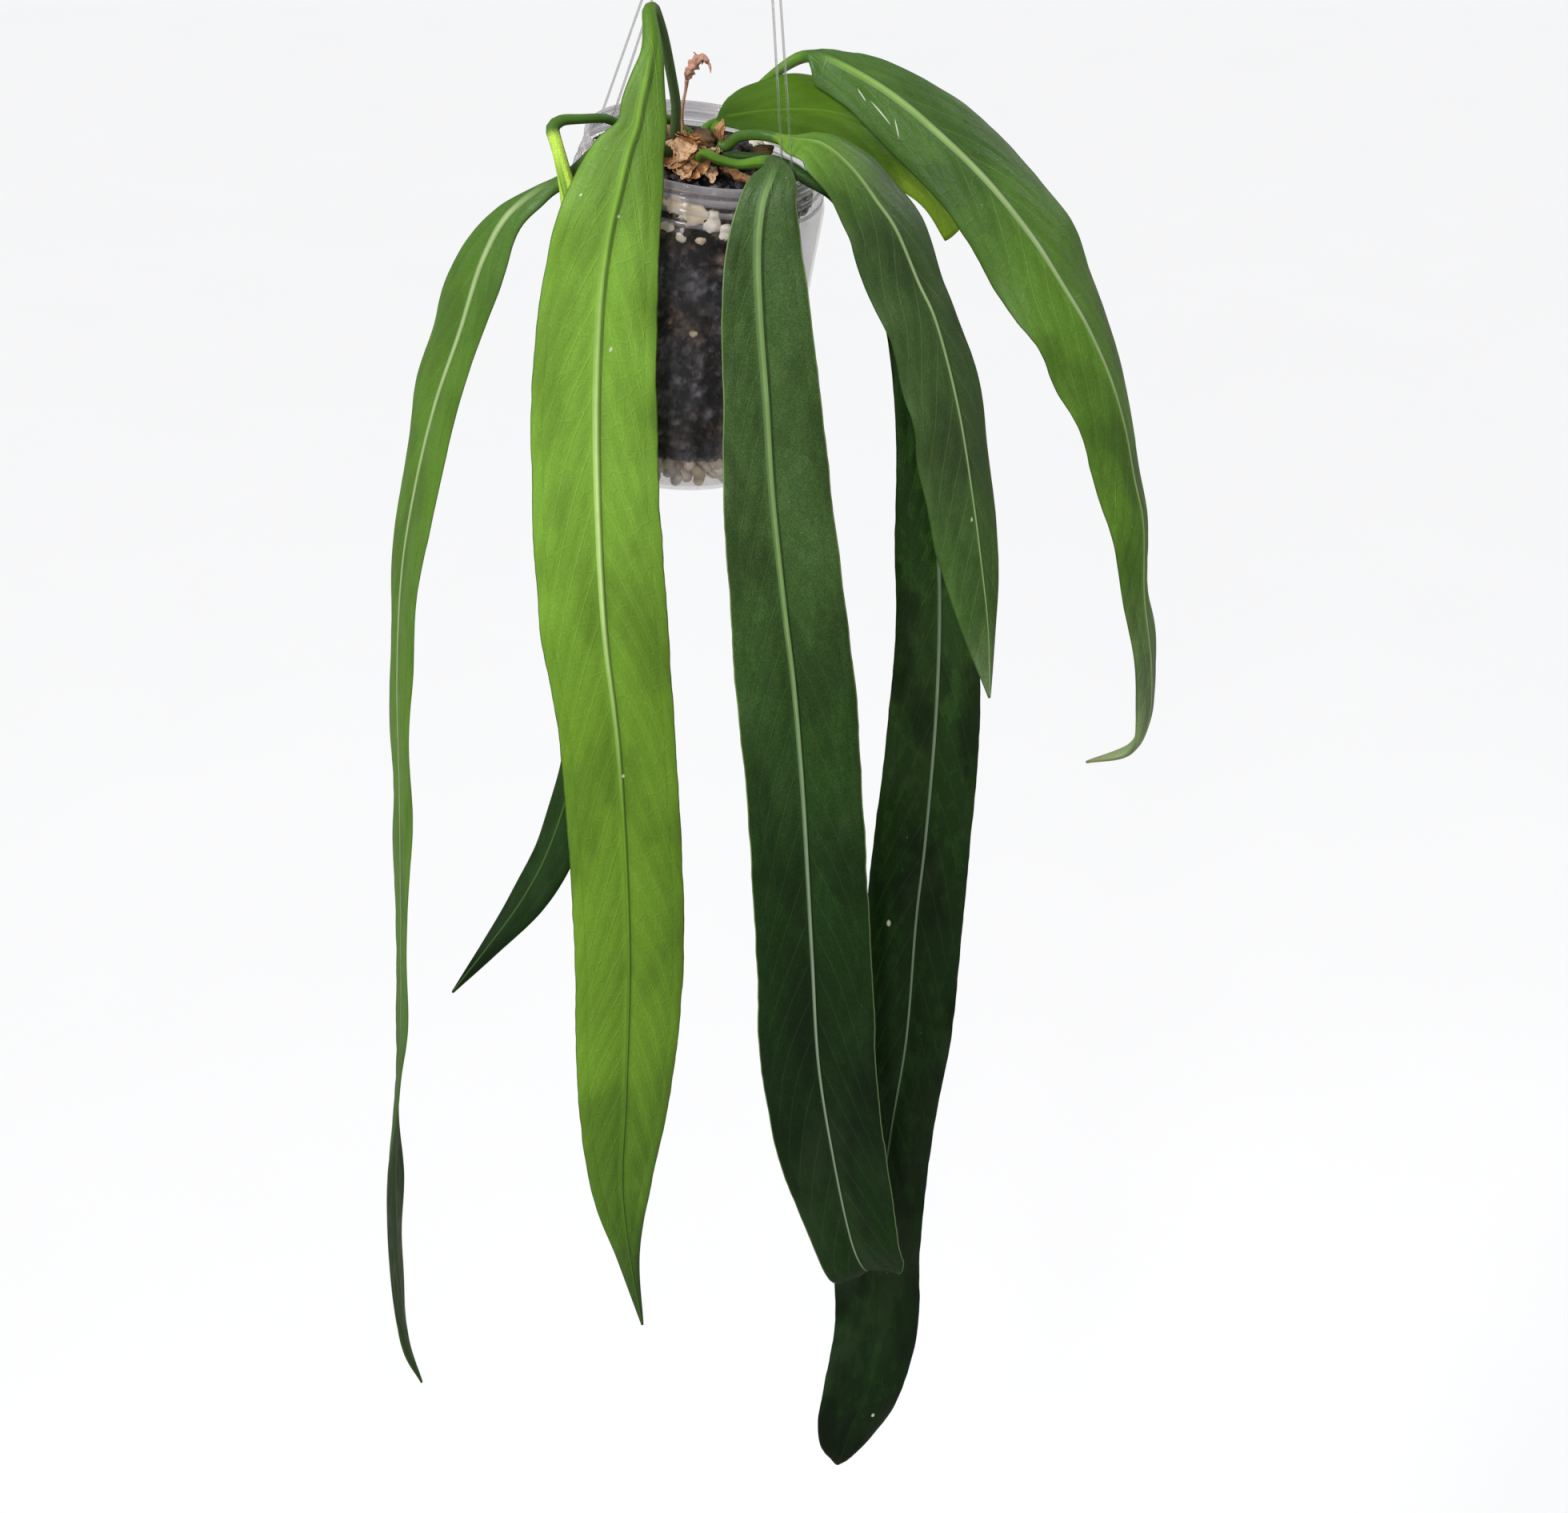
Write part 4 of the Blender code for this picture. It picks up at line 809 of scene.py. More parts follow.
LEAF_LOOKS = {
    "leaf_front_left": {
        "slot": "leaf_bright", "petiole": "deep", "under": "silver",
        "rib": ((0, "meadow"), (0.06, "fresh"), (0.14, "lime"), (0.3, "pale"), (0.38, "pale"),
                (0.55, "fresh"), (1, "grown")),
        "down": ((0, "meadow"), (0.15, "lime"), (0.3, "lime"), (0.48, "fresh"), (0.76, "fresh"),
                 (0.9, "meadow"), (1, "deep")),
        "fold": 4, "wave": 1.8, "wave_length": 84, "rib_width": 4.2, "rib_height": 1.4, "glow": 0.2,
        "facet_light": 0.19, "blotch": 0.12, "grain": 0.22, "veins": 0.2, "painted_sheen": 0.0, "flank": 0.95,
        "flank_depth": 0.9, "near_side": 0.0, "seed": 1,
        "marks": ((6.5, 165, 20, 1.3, 0.7), (1.5, 395, 0, 1.0, 0.8), (-17, 95, 30, 0.9, 0.5),
                  (3, 100, 10, 0.8, 0.5), (23, 78, 60, 1.5, 0.5)),
    },
    "leaf_far_left": {
        "slot": "leaf_mid", "petiole": "deep", "under": "deep",
        "rib": ((0, "sage"), (0.4, "sage"), (1, "grown")),
        "down": ((0, "grown"), (0.15, "meadow"), (0.5, "meadow"), (0.7, "grown"), (0.8, "bottle"),
                 (1, "bottle")),
        "fold": 0, "wave": 0.9, "wave_length": 95, "rib_width": 3.4, "rib_height": 1.1, "glow": 0.15,
        "facet_light": 0.08, "blotch": 0.1, "grain": 0.25, "veins": 0.16, "flank": 0.9, "flank_depth": 0.25,
        "near_side": 0.4, "seed": 2,
    },
    "leaf_left_behind": {
        "slot": "leaf_dark", "petiole": "grown", "under": "deep", "edge": "old",
        "rib": ((0, "lime"), (0.3, "grown"), (1, "deep")),
        "down": ((0, "sprout"), (0.1, "sprout"), (0.17, "meadow"), (0.35, "deep"), (0.8, "old"),
                 (1, "shade")),
        "roughness": 0.45, "specular": 0.2, "fold": 10, "wave": 1.4, "wave_length": 80, "quilt": 0.35,
        "rib_width": 3, "rib_height": 1, "facet_light": 0.07, "blotch": 0.3, "grain": 0.5, "veins": 0.13,
        "flank": 0.9, "flank_depth": 0.2, "seed": 3,
    },
    "leaf_front_dark": {
        "slot": "leaf_dark", "petiole": "meadow", "under": "bottle", "edge": "sage",
        "rib": ((0, "fern"), (0.35, "fern"), (0.6, "ash"), (0.93, "ash"), (1, "rust")),
        "down": ((0, "deep"), (0.28, "deep"), (0.44, "bottle"), (0.6, "old"), (0.8, "shade"),
                 (0.966, "old"), (0.982, "rust"), (1, "straw")),
        "specular": 0.22, "fold": -7, "wave": 1.8, "wave_length": 92, "rib_width": 3.8, "rib_height": 1.5,
        "glow": 0.06, "facet_light": 0.09, "blotch": 0.35, "grain": 0.7, "veins": 0.1, "painted_sheen": 0.08,
        "flank": 1.25, "flank_depth": 0.8, "near_side": 1.0, "seed": 4,
    },
    "leaf_right": {
        "slot": "leaf_mid", "petiole": "grown", "under": "meadow",
        "rib": ((0, "fresh"), (0.3, "sage"), (1, "sage")),
        "down": ((0, "fresh"), (0.08, "meadow"), (0.22, "deep"), (0.6, "deep"), (0.85, "grown"),
                 (1, "silver")),
        "specular": 0.35, "fold": 14, "wave": 1.5, "wave_length": 78, "quilt": 0.45, "rib_width": 2.4,
        "rib_height": 0.9, "facet_light": 0.17, "blotch": 0.25, "grain": 0.35, "veins": 0.2, "painted_sheen": 0.05,
        "flank": 1.4, "flank_depth": 0.35, "seed": 5, "marks": ((-2.4, 236, 10, 1.2, 0.7),),
    },
    "leaf_lowest": {
        "slot": "leaf_dark", "petiole": "bottle", "under": "bottle", "edge": "shade",
        "rib": ((0, "deep"), (0.35, "ash"), (0.62, "ash"), (0.8, "old"), (1, "old")),
        "down": ((0, "old"), (0.3, "bottle"), (0.48, "old"), (1, "shade")),
        "specular": 0.2, "fold": 4, "wave": 2.0, "wave_length": 105, "rib_width": 2.4, "rib_height": 0.9,
        "glow": 0.05, "facet_light": 0.09, "blotch": 0.8, "grain": 0.8, "veins": 0.12, "flank": 1.3,
        "flank_depth": 0.3, "near_side": 0.7, "seed": 6,
        "marks": ((-15, 425, 0, 1.9, 1.1), (9.5, 765, 0, 1.3, 0.9)),
    },
    "leaf_back_right": {
        "slot": "leaf_bright", "petiole": "lime", "under": "fresh", "edge": "fresh",
        "rib": ((0, "fresh"), (0.5, "lime"), (1, "sprout")),
        "down": ((0, "meadow"), (0.35, "fresh"), (0.65, "lime"), (0.75, "sprout"), (1, "sprout")),
        "fold": 8, "wave": 1.2, "wave_length": 60, "quilt": 0.35, "rib_width": 2.6, "rib_height": 0.9,
        "glow": 0.55, "facet_light": 0.17, "blotch": 0.1, "grain": 0.12, "veins": 0.29, "painted_sheen": 0.0, "flank": 1.2,
        "flank_depth": 0.15, "near_side": 0.3, "seed": 7, "marks": ((6, 128, 60, 4, 2.2),),
    },
    "leaf_far_right": {
        "slot": "leaf_mid", "petiole": "meadow", "under": "silver",
        "rib": ((0, "lime"), (0.3, "sage"), (1, "sage")),
        "down": ((0, "grown"), (0.2, "grown"), (0.42, "meadow"), (0.72, "meadow"), (0.86, "silver"),
                 (0.95, "sage"), (1, "straw")),
        "roughness": 0.4, "fold": 20, "wave": 1.6, "wave_length": 88, "quilt": 0.45, "rib_width": 4,
        "rib_height": 1.3, "glow": 0.12, "facet_light": 0.17, "blotch": 0.25, "grain": 0.28, "veins": 0.18,
        "painted_sheen": 0.05, "flank": 1.3, "flank_depth": 0.3, "seed": 8,
        "marks": ((-9, 34, 25, 4, 0.35), (-11, 48, 12, 8, 0.4), (-12, 60, 35, 5, 0.35)),
    },
}

# The blade's relief: how much the midrib shrinks to the tip, the bulge of each half as a share of its width,
# the crease's distance from the edge and its depth, and how steeply the side veins run.
RIB_SHRINK = 0.72
BULGE = 0.05
EDGE_CREASE = 6.0
CREASE_DEPTH = 0.35
VEIN_SLOPE = 2.4


def settings():
    return bpy.context.scene.hanging_plant


def leaf_rows(data):
    """Rings down a leaf with their tangents and side vectors, as the part's source lays them."""
    foot = stem_point(data["angle"], data["height"], STEM_CLEARANCE)
    out = stem_point(data["angle"], data["height"], PETIOLE_STEP)
    start = data["petiole"][0][3]
    petiole = [(*foot, start), (*out, start)] + under_hook(data["petiole"])
    blade = under_hook(data["blade"])
    first = blade[0]
    rows = [(x, y, z, r, r, first[5], first[6], r) for x, y, z, r in petiole]
    rows += [(*row, min(row[3], row[4], petiole[-1][3])) for row in blade]
    rows = smooth_rows(rows, settings().leaf.ring_step)
    points = rows[:, :3]
    along = tangents(points)
    turn_in = int(np.argmin(np.linalg.norm(points - np.array(first[:3]), axis=1)))
    sides = np.zeros((len(rows), 3))
    for i in range(turn_in, len(rows)):
        sides[i] = side_vector(along[i], rows[i, 5], rows[i, 6])
    for i in range(turn_in - 1, -1, -1):
        sides[i] = square_to(sides[i + 1], along[i])
    run = np.concatenate([[0], np.cumsum(np.linalg.norm(np.diff(points, axis=0), axis=1))])
    return rows, along, sides, run - run[turn_in]


def smoothly(value, low, high):
    share = np.clip((value - low) / (high - low), 0, 1)
    return share * share * (3 - 2 * share)


def leaf_shape(data, look):
    """A whole leaf as one closed body: petiole, joint and quilted blade with a keeled midrib.

    Returns its points, faces and maps. The maps hold millimetres across and along, shares across and along,
    and the side veins' phase with 1 on the upper side.
    """
    rows, along, sides, run = leaf_rows(data)
    ups = np.cross(along, sides)
    half = settings().leaf.columns // 2
    inner = (np.arange(half) / (half - 1)) ** 1.35 * 0.985
    shares = np.concatenate([[-1], -inner[:0:-1], inner, [1]])
    thick = np.maximum(rows[:, 7], THINNEST)
    left, right = np.maximum(rows[:, 3], THINNEST_EDGE), np.maximum(rows[:, 4], THINNEST_EDGE)
    flat = np.clip((np.minimum(left, right) - thick) / FLATTENING, 0, 1)
    s, down = shares[None, :], run[:, None] / run[-1]
    off = np.abs(s)
    seed = look["seed"]
    # The outline of each half wanders a little on its own.
    rough = [0.018 * flat * np.array([wander(t / 21, side * 9 + seed * 3.7, 0)
                                      + 0.6 * wander(t / 7, side * 9 + seed * 3.7, 4) for t in run])
             for side in (0, 1)]
    widths = np.where(s < 0, (left * (1 + rough[0]))[:, None], (right * (1 + rough[1]))[:, None])
    across, flat = s * widths, flat[:, None]
    reach = np.abs(across)
    bend = np.radians(look["fold"]) * flat

    swing = [np.array([wander(t / 130, side * 5 + seed * 1.3, 8) for t in run])[:, None] for side in (0, 1)]
    # The margins wave, the right one a little slower than the left one.
    turn = 2 * math.pi * run[:, None] / look["wave_length"]
    wave = np.where(s < 0, np.sin(turn + 5 * swing[0]), np.sin(turn * 0.87 + 1.9 + 5 * swing[1]))
    phase = ((run[:, None] - VEIN_SLOPE * reach * (1 + 0.5 * s * s)) / settings().leaf.vein_spacing
             + 0.5 * (s > 0) + 0.22 * np.sin(run[:, None] / 31 + seed + 2 * (s > 0)))
    veined = smoothly(off, 0.08, 0.3) * (1 - smoothly(off, 0.7, 0.88))
    to_edge = widths - reach
    shape = look["wave"] * off ** 2.2 * wave
    shape = shape + BULGE * widths * 4 * (off - s * s)
    shape = shape + look["quilt"] * veined * (0.5 - 0.5 * np.cos(2 * math.pi * phase))
    shape = shape - CREASE_DEPTH * np.exp(-((to_edge - EDGE_CREASE) / 1.2) ** 2)
    shape = shape - 0.5 * smoothly(off, 0.9, 1)

    # The midrib stands up above and is keeled below, with a shallow groove on each side.
    narrow = 1 - RIB_SHRINK * np.clip(down, 0, 1)
    rib_width = np.minimum(look["rib_width"] * narrow, 0.45 * widths)
    rise = look["rib_height"] * narrow * np.clip(1 - np.sqrt(across ** 2 + 0.12) / rib_width, 0, 1) ** 1.1
    rise = rise - 0.12 * np.exp(-((reach - 1.35 * rib_width) / (0.4 * rib_width)) ** 2)
    keel = 0.9 * look["rib_height"] * narrow * np.clip(1 - (across / (0.9 * rib_width)) ** 2, 0, 1)
    skin = settings().leaf.thickness / 2 * (1 - 0.55 * off ** 3)
    round_lift = thick[:, None] * np.sqrt(np.clip(1 - s * s, 0, 1))
    edge_cut = np.where(off == 1, 0, 1)
    top = (1 - flat) * round_lift + flat * (skin * edge_cut + rise)
    bottom = (1 - flat) * round_lift + flat * (skin * edge_cut + keel)

    # Each ring runs over the upper side and back along the lower one.
    middle = (rows[:, None, :3] + sides[:, None] * (across * np.cos(bend))[..., None]
              + ups[:, None] * (flat * shape - reach * np.sin(bend))[..., None])
    upper = middle + ups[:, None] * top[..., None]
    lower = middle - ups[:, None] * bottom[..., None]
    count, wide = len(rows), len(shares)
    ring = np.concatenate([upper, lower[:, -2:0:-1]], axis=1)
    loop = ring.shape[1]
    faces = grid_faces(count, loop, wrap=True)
    for base, flip in ((0, True), ((count - 1) * loop, False)):
        for j in range(wide - 1):
            low = [base + (loop - j) % loop, base + (loop - j - 1) % loop]
            if j == wide - 2:
                low[1] = base + wide - 1
            face = [base + j, base + j + 1] + [i for i in reversed(low) if i not in (base + j, base + j + 1)]
            faces.append(tuple(face[::-1] if flip else face))

    # The maps, with the rim on both sides.
    order = np.concatenate([np.arange(wide), np.arange(wide - 2, 0, -1)])
    upper_side = np.concatenate([np.ones(wide), np.zeros(wide - 2)])
    upper_side[[0, wide - 1]] = 0.5
    spread = np.ones((count, 1))
    return ring.reshape(-1, 3), faces, {
        "leaf_mm": (across[:, order], run[:, None] + 0 * across[:, order]),
        "leaf_share": (s[:, order] * spread, down + 0 * across[:, order]),
        "leaf_vein": (phase[:, order], upper_side[None] * spread),
    }


def leaf_finish(name, look):
    """Living leaf with a waxy skin: satin, quilted between steep side veins, pale along its raised midrib,
    with painted light and shade laid on its colour.
    """
    made, node = new_material(name)
    tones = settings().leaf
    mm = node("SeparateXYZ", {0: node("UVMap", uv_map="leaf_mm")})
    across, along = mm, mm.node.outputs[1]
    share = node("SeparateXYZ", {0: node("UVMap", uv_map="leaf_share")})
    down = share.node.outputs[1]
    vein = node("SeparateXYZ", {0: node("UVMap", uv_map="leaf_vein")})
    is_upper = vein.node.outputs[1]
    reach = node("Math", {0: across}, **SIZE)
    out_share = node("Math", {0: share}, **SIZE)
    on_blade = node("MapRange", {0: down, 1: 0.0, 2: 0.05}, **SOFT)
    flat_place = node("CombineXYZ", {0: across, 1: along, 2: look["seed"] * 17.0})
    stretched = node("Mapping", {0: flat_place, 3: (1, 0.45, 1)})

    # The blade's greens down its length: its own colour, darkened towards the tip partly with painted shade.
    colour = node("ValToRGB", {0: down}, stops=[(at, LEAF_GREENS[tone]) for at, tone in look["down"]])
    rib = node("ValToRGB", {0: down}, stops=[(at, LEAF_GREENS[tone]) for at, tone in look["rib"]])
    # Mottling 28 mm across and cloudiness 6.5 mm across, both twice as long, and the skin's grain. That is
    # 0.15 mm, but it is drawn at 0.6 mm, the finest that shows.
    broad = node("TexNoise", {0: stretched, 2: 1 / 28, 3: 2.0, 4: 0.55})
    fine = node("TexNoise", {0: stretched, 2: 1 / 6.5, 3: 4.0, 4: 0.6})
    grain = node("TexNoise", {0: flat_place, 2: 1 / 0.6, 3: 2.0, 4: 0.7})
    for pattern, low, high, most, strength in (
            (broad, 0.42, 0.66, tones.mottling, 0.66), (fine, 0.35, 0.7, 0.6 * tones.mottling, 0.72),
            (fine, 0.5, 0.62, look["blotch"], 1.7), (broad, 0.5, 0.6, look["blotch"], 0.5),
            (grain, 0.52, 0.64, look["grain"], 1.75), (grain, 0.47, 0.34, look["grain"], 0.55)):
        mask = node("MapRange", {0: pattern, 1: low, 2: high, 4: most}, **SOFT)
        colour = node("Mix", {0: mask, 6: colour, 7: grey(strength)}, **TINT)
    # Each field between two side veins bulges, and its upper end gets painted light.
    field = node("Math", {0: node("Math", {0: fine, 1: 0.6}, **TIMES), 1: vein}, **PLUS)
    in_field = node("Math", {0: field}, operation="FRACT")
    facet_light_mask = node("MapRange", {0: in_field, 3: look["facet_light"], 4: 0.0}, **SOFT)
    colour = node("Mix", {0: facet_light_mask, 6: colour, 7: grey(1.5)}, **TINT)
    # Painted sheen in soft bluish patches some 30 mm across.
    patch = node("TexNoise", {0: node("Mapping", {0: stretched, 1: (0, 400, 0)}), 2: 1 / 30, 3: 3.0, 4: 0.6})
    painted_sheen = node("MapRange", {0: patch, 1: 0.48, 2: 0.68, 4: look["painted_sheen"]}, **SOFT)
    colour = node("Mix", {0: painted_sheen, 6: colour, 7: LEAF_GREENS["painted_sheen"]}, **BLEND)
    # Net veins of some 4.5 mm between the side veins.
    net = node("TexVoronoi", {0: stretched, 2: 1 / 4.5}, feature="DISTANCE_TO_EDGE")
    inside = node("Math", {0: node("MapRange", {0: out_share, 1: 0.04, 2: 0.14}, **SOFT),
                           1: node("MapRange", {0: out_share, 1: 0.96, 2: 0.8}, **SOFT)}, **TIMES)
    netted = node("Math", {0: node("MapRange", {0: net, 1: 0.09, 2: 0.0}, **SOFT), 1: inside}, **TIMES)
    colour = node("Mix", {0: node("Math", {0: netted, 1: 0.08}, **TIMES), 6: colour, 7: grey(1.2)}, **TINT)
    # Steep side veins some 27 mm apart, and the crease that joins them near the edge, darkened with painted
    # shade.
    beat = node("Math", {0: vein, 1: 0.5}, operation="PINGPONG")
    vein_reach = node("Math", {0: node("MapRange", {0: out_share, 1: 0.04, 2: 0.12}, **SOFT),
                               1: node("MapRange", {0: out_share, 1: 0.9, 2: 0.72}, **SOFT)}, **TIMES)
    on_vein = node("MapRange", {0: beat, 1: 0.07, 2: 0.0}, **SOFT)
    side_vein = node("Math", {0: on_vein, 1: vein_reach}, **TIMES)
    lightened = node("Mix", {0: 1.0, 6: colour, 7: grey(1.5)}, **TINT)
    vein_colour = node("Mix", {0: 0.4, 6: lightened, 7: rib}, **BLEND)
    vein_share = node("Math", {0: side_vein, 1: look["veins"]}, **TIMES)
    colour = node("Mix", {0: vein_share, 6: colour, 7: vein_colour}, **BLEND)
    some_share = node("Math", {0: out_share, 1: 0.02}, operation="MAXIMUM")
    half_width = node("Math", {0: reach, 1: some_share}, **OVER)
    to_edge = node("Math", {0: half_width, 1: reach}, **LESS)
    from_crease = node("Math", {0: node("Math", {0: to_edge, 1: EDGE_CREASE}, **LESS)}, **SIZE)
    painted_crease_shade = node("Math", {0: node("MapRange", {0: from_crease, 1: 0.8, 2: 0.1, 4: 0.4}, **SOFT),
                           1: node("MapRange", {0: fine, 1: 0.3, 2: 0.6, 3: 0.3, 4: 1.0}, **SOFT)}, **TIMES)
    # The midrib is pale, with a painted highlight along its crest, and narrows to the tip. The flank away
    # from the light is darker.
    crest = node("MapRange", {0: node("Math", {0: down, 1: 0.6}, operation="POWER"), 1: 0.0, 2: 1.0,
                              3: look["rib_width"] * 0.7, 4: look["rib_width"] * 0.12})
    beside = node("Math", {0: across, 1: crest}, **OVER)
    off_crest = node("Math", {0: beside}, **SIZE)
    on_rib = node("MapRange", {0: off_crest, 1: 1.1, 2: 0.75, 4: 0.95}, **SOFT)
    rounded = rib
    # The midrib's green gets painted shade on its side away from the light, mottling, and a painted highlight
    # on its crest.
    for pattern, low, high, most, strength in (
            (beside, 0.7, -0.8, look["near_side"], 0.62), (fine, 0.35, 0.65, 0.5, 0.8),
            (off_crest, 0.42, 0.12, 0.75, 1.45)):
        mask = node("MapRange", {0: pattern, 1: low, 2: high, 4: most}, **SOFT)
        rounded = node("Mix", {0: mask, 6: rounded, 7: grey(strength)}, **TINT)
    off_line = node("Math", {0: node("Math", {0: beside, 1: look["flank"]}, **LESS)}, **SIZE)
    shaded = node("MapRange", {0: off_line, 1: 0.55, 2: 0.25, 4: look["flank_depth"]}, **SOFT)
    # A thin line runs along the edge. All four stop where the blade does.
    at_edge = node("MapRange", {0: to_edge, 1: 0.8, 2: 0.3, 4: 0.45}, **SOFT)
    # Laid on the blade: the crease's painted shade, the midrib with its painted light, the flank's painted
    # shade and the edge line.
    for line, tone, how in ((painted_crease_shade, grey(0.7), TINT), (on_rib, rounded, BLEND), (shaded, grey(0.4), TINT),
                            (at_edge, LEAF_GREENS[look["edge"]], BLEND)):
        colour = node("Mix", {0: node("Math", {0: line, 1: on_blade}, **TIMES), 6: colour, 7: tone}, **how)
    # The petiole with its streaks.
    stalk = LEAF_GREENS[look["petiole"]]
    for low, high, most, strength in ((0.3, 0.7, 0.6, 1.4), (0.4, 0.2, 0.5, 0.55)):
        mask = node("MapRange", {0: fine, 1: low, 2: high, 4: most}, **SOFT)
        stalk = node("Mix", {0: mask, 6: stalk, 7: grey(strength)}, **TINT)
    on_stalk = node("MapRange", {0: down, 1: 0.0, 2: -0.012}, **SOFT)
    colour = node("Mix", {0: on_stalk, 6: colour, 7: stalk}, **BLEND)
    # Corky specks a millimetre wide, few of them.
    speck = node("TexVoronoi", {0: flat_place, 2: 1 / 9}, feature="F1")
    speck_pick = node("SeparateColor", {0: speck.node.outputs[1]})
    speckled = node("Math", {0: node("MapRange", {0: speck, 1: 0.065, 2: 0.03, 4: 0.3}, **SOFT),
                             1: node("Math", {0: speck_pick, 1: 0.8}, operation="GREATER_THAN")}, **TIMES)
    corky = node("Mix", {0: 0.4, 6: rib, 7: tones.scar_colour}, **BLEND)
    colour = node("Mix", {0: speckled, 6: colour, 7: corky}, **BLEND)
    # Scars and scratches on the upper side, with ragged edges.
    for x, y, turn, long, wide in look["marks"]:
        local = node("Mapping", {0: node("UVMap", uv_map="leaf_mm"), 1: (x, y, 0), 3: (wide, long, 1),
                                 2: (0, 0, math.radians(turn))}, vector_type="TEXTURE")
        away = node("VectorMath", {0: local}, 1, operation="LENGTH")
        ragged = node("Math", {0: away, 1: node("Math", {0: grain, 1: 0.5}, **TIMES)}, **PLUS)
        spot = node("MapRange", {0: ragged, 1: 1.45, 2: 0.95, 4: 0.85}, **SOFT)
        scar = node("Math", {0: spot, 1: is_upper}, **TIMES)
        colour = node("Mix", {0: scar, 6: colour, 7: tones.scar_colour}, **BLEND)
    # The other side is duller, with the same veins.
    below = node("Mix", {0: 0.55, 6: colour, 7: LEAF_GREENS[look["under"]]}, **BLEND)
    is_lower = node("MapRange", {0: is_upper, 1: 0.45, 2: 0.2}, **SOFT)
    colour = node("Mix", {0: is_lower, 6: colour, 7: below}, **BLEND)

    dullest, glossiest = look["roughness"] + 0.08, look["roughness"] - 0.07
    wear = node("MapRange", {0: fine, 1: 0.3, 2: 0.7, 3: glossiest, 4: dullest}, **SOFT)
    relief = node("Math", {0: fine, 1: 0.12}, **TIMES)
    for pattern, strength in ((grain, 0.06), (netted, -0.1), (side_vein, -0.16)):
        relief = node("Math", {0: relief, 1: node("Math", {0: pattern, 1: strength}, **TIMES)}, **PLUS)
    bump = node("Bump", {"Height": relief, "Distance": MM, "Strength": 0.8})
    skin = node("BsdfPrincipled", {"Base Color": colour, "Roughness": wear, "Normal": bump,
                                   "Specular IOR Level": look["specular"], "IOR": 1.45})
    lit_through = node("Mix", {0: 0.4, 6: colour, 7: tones.glow_colour}, blend_type="SCREEN", **BLEND)
    through = node("BsdfTranslucent", {0: lit_through, "Normal": bump})
    node("OutputMaterial", {0: node("MixShader", {0: look["glow"], 1: skin, 2: through})})
    return made


def wall_radius(depth):
    """The pot's outer radius between the shoulder and the foot, at a depth under the lip."""
    share = (depth - SHOULDER_DEPTH) / (POT_HEIGHT - SHOULDER_DEPTH)
    return SHOULDER_RADIUS + (FOOT_RADIUS - SHOULDER_RADIUS) * share


def inner_radius(depth):
    """The pot's inner radius at a depth under the lip, from the neck over the shoulder to the foot."""
    if depth <= SHOULDER_DEPTH:
        share = max(0, depth - LIP_DEPTH) / (SHOULDER_DEPTH - LIP_DEPTH)
        return NECK_RADIUS + (SHOULDER_RADIUS - NECK_RADIUS) * share - POT_WALL
    return wall_radius(depth) - POT_WALL


def arc(centre, radius, first, last, steps):
    """Points on an arc in radius and height, angles in degrees."""
    turns = np.radians(np.linspace(first, last, steps))
    return [(centre[0] + radius * math.cos(t), centre[1] + radius * math.sin(t)) for t in turns]


def pot_profile():
    """The wall's section from the middle of the foot outside up to the lip and down again inside."""
    foot = (FOOT_RADIUS - FOOT_ROUND, -POT_HEIGHT + FOOT_ROUND)
    # The floor's middle stands 1.2 mm up, so that the pot rests on a ring.
    points = [(0.01, -POT_HEIGHT + 1.2), (24, -POT_HEIGHT + 1.2), (27, -POT_HEIGHT + 0.4), (40, -POT_HEIGHT)]
    points += arc(foot, FOOT_ROUND, -90, 0, 8)
    for depth in np.linspace(POT_HEIGHT - FOOT_ROUND - 8, SHOULDER_DEPTH + 3, 24):
        points.append((wall_radius(depth) + WALL_WOBBLE * wander(depth / 9, 3, 0), -depth))
    points += [(SHOULDER_RADIUS - 0.05, -SHOULDER_DEPTH - 1), (SHOULDER_RADIUS - 0.25, -SHOULDER_DEPTH + 0.6)]
    for depth, radius in BEADS[::-1]:
        base = radius - BEAD_RISE
        points.append((base, -depth - 2.2))
        points += [(base + BEAD_RISE * math.cos(t), -depth + 1.6 * math.sin(t))
                   for t in np.radians(np.linspace(-80, 80, 9))]
        points.append((base - 0.5, -depth + 2.2))
    points += [(NECK_RADIUS, -LIP_DEPTH - 0.6), (NECK_RADIUS + 0.1, -LIP_DEPTH)]
    points += arc((LIP_RADIUS - LIP_ROUND, -LIP_DEPTH + LIP_ROUND), LIP_ROUND, -80, 0, 5)
    points += arc((LIP_RADIUS - LIP_ROUND, -LIP_ROUND), LIP_ROUND, 0, 90, 6)
    points += arc((inner_radius(0) + 0.5, -0.5), 0.5, 90, 180, 4)
    depths = (2, LIP_DEPTH, 10, 17, SHOULDER_DEPTH - 1,
              *np.linspace(SHOULDER_DEPTH, POT_HEIGHT - POT_WALL - FOOT_ROUND, 14))
    points += [(inner_radius(d), -d) for d in depths]
    floor = -POT_HEIGHT + POT_WALL
    points += [(inner_radius(POT_HEIGHT) - 1.5, floor + 1.6), (inner_radius(POT_HEIGHT) - FOOT_ROUND, floor),
               (34, floor), (27, floor + 0.5), (24, floor + 1.2), (0.01, floor + 1.2)]
    return points


def lathe(profile, sides, wobble=0.0):
    """Points and faces turned round the pot's axis; wobble makes the wall a little out of round."""
    points = []
    for r, z in profile:
        for t in turns_of(sides):
            out_of_round = math.sin(2 * t + 0.4 + z / 70) + 0.5 * math.sin(5 * t + z / 23)
            points.append(around(r + wobble * min(1, r / 50) * out_of_round, t, z))
    return points, closed_faces(len(profile), sides)


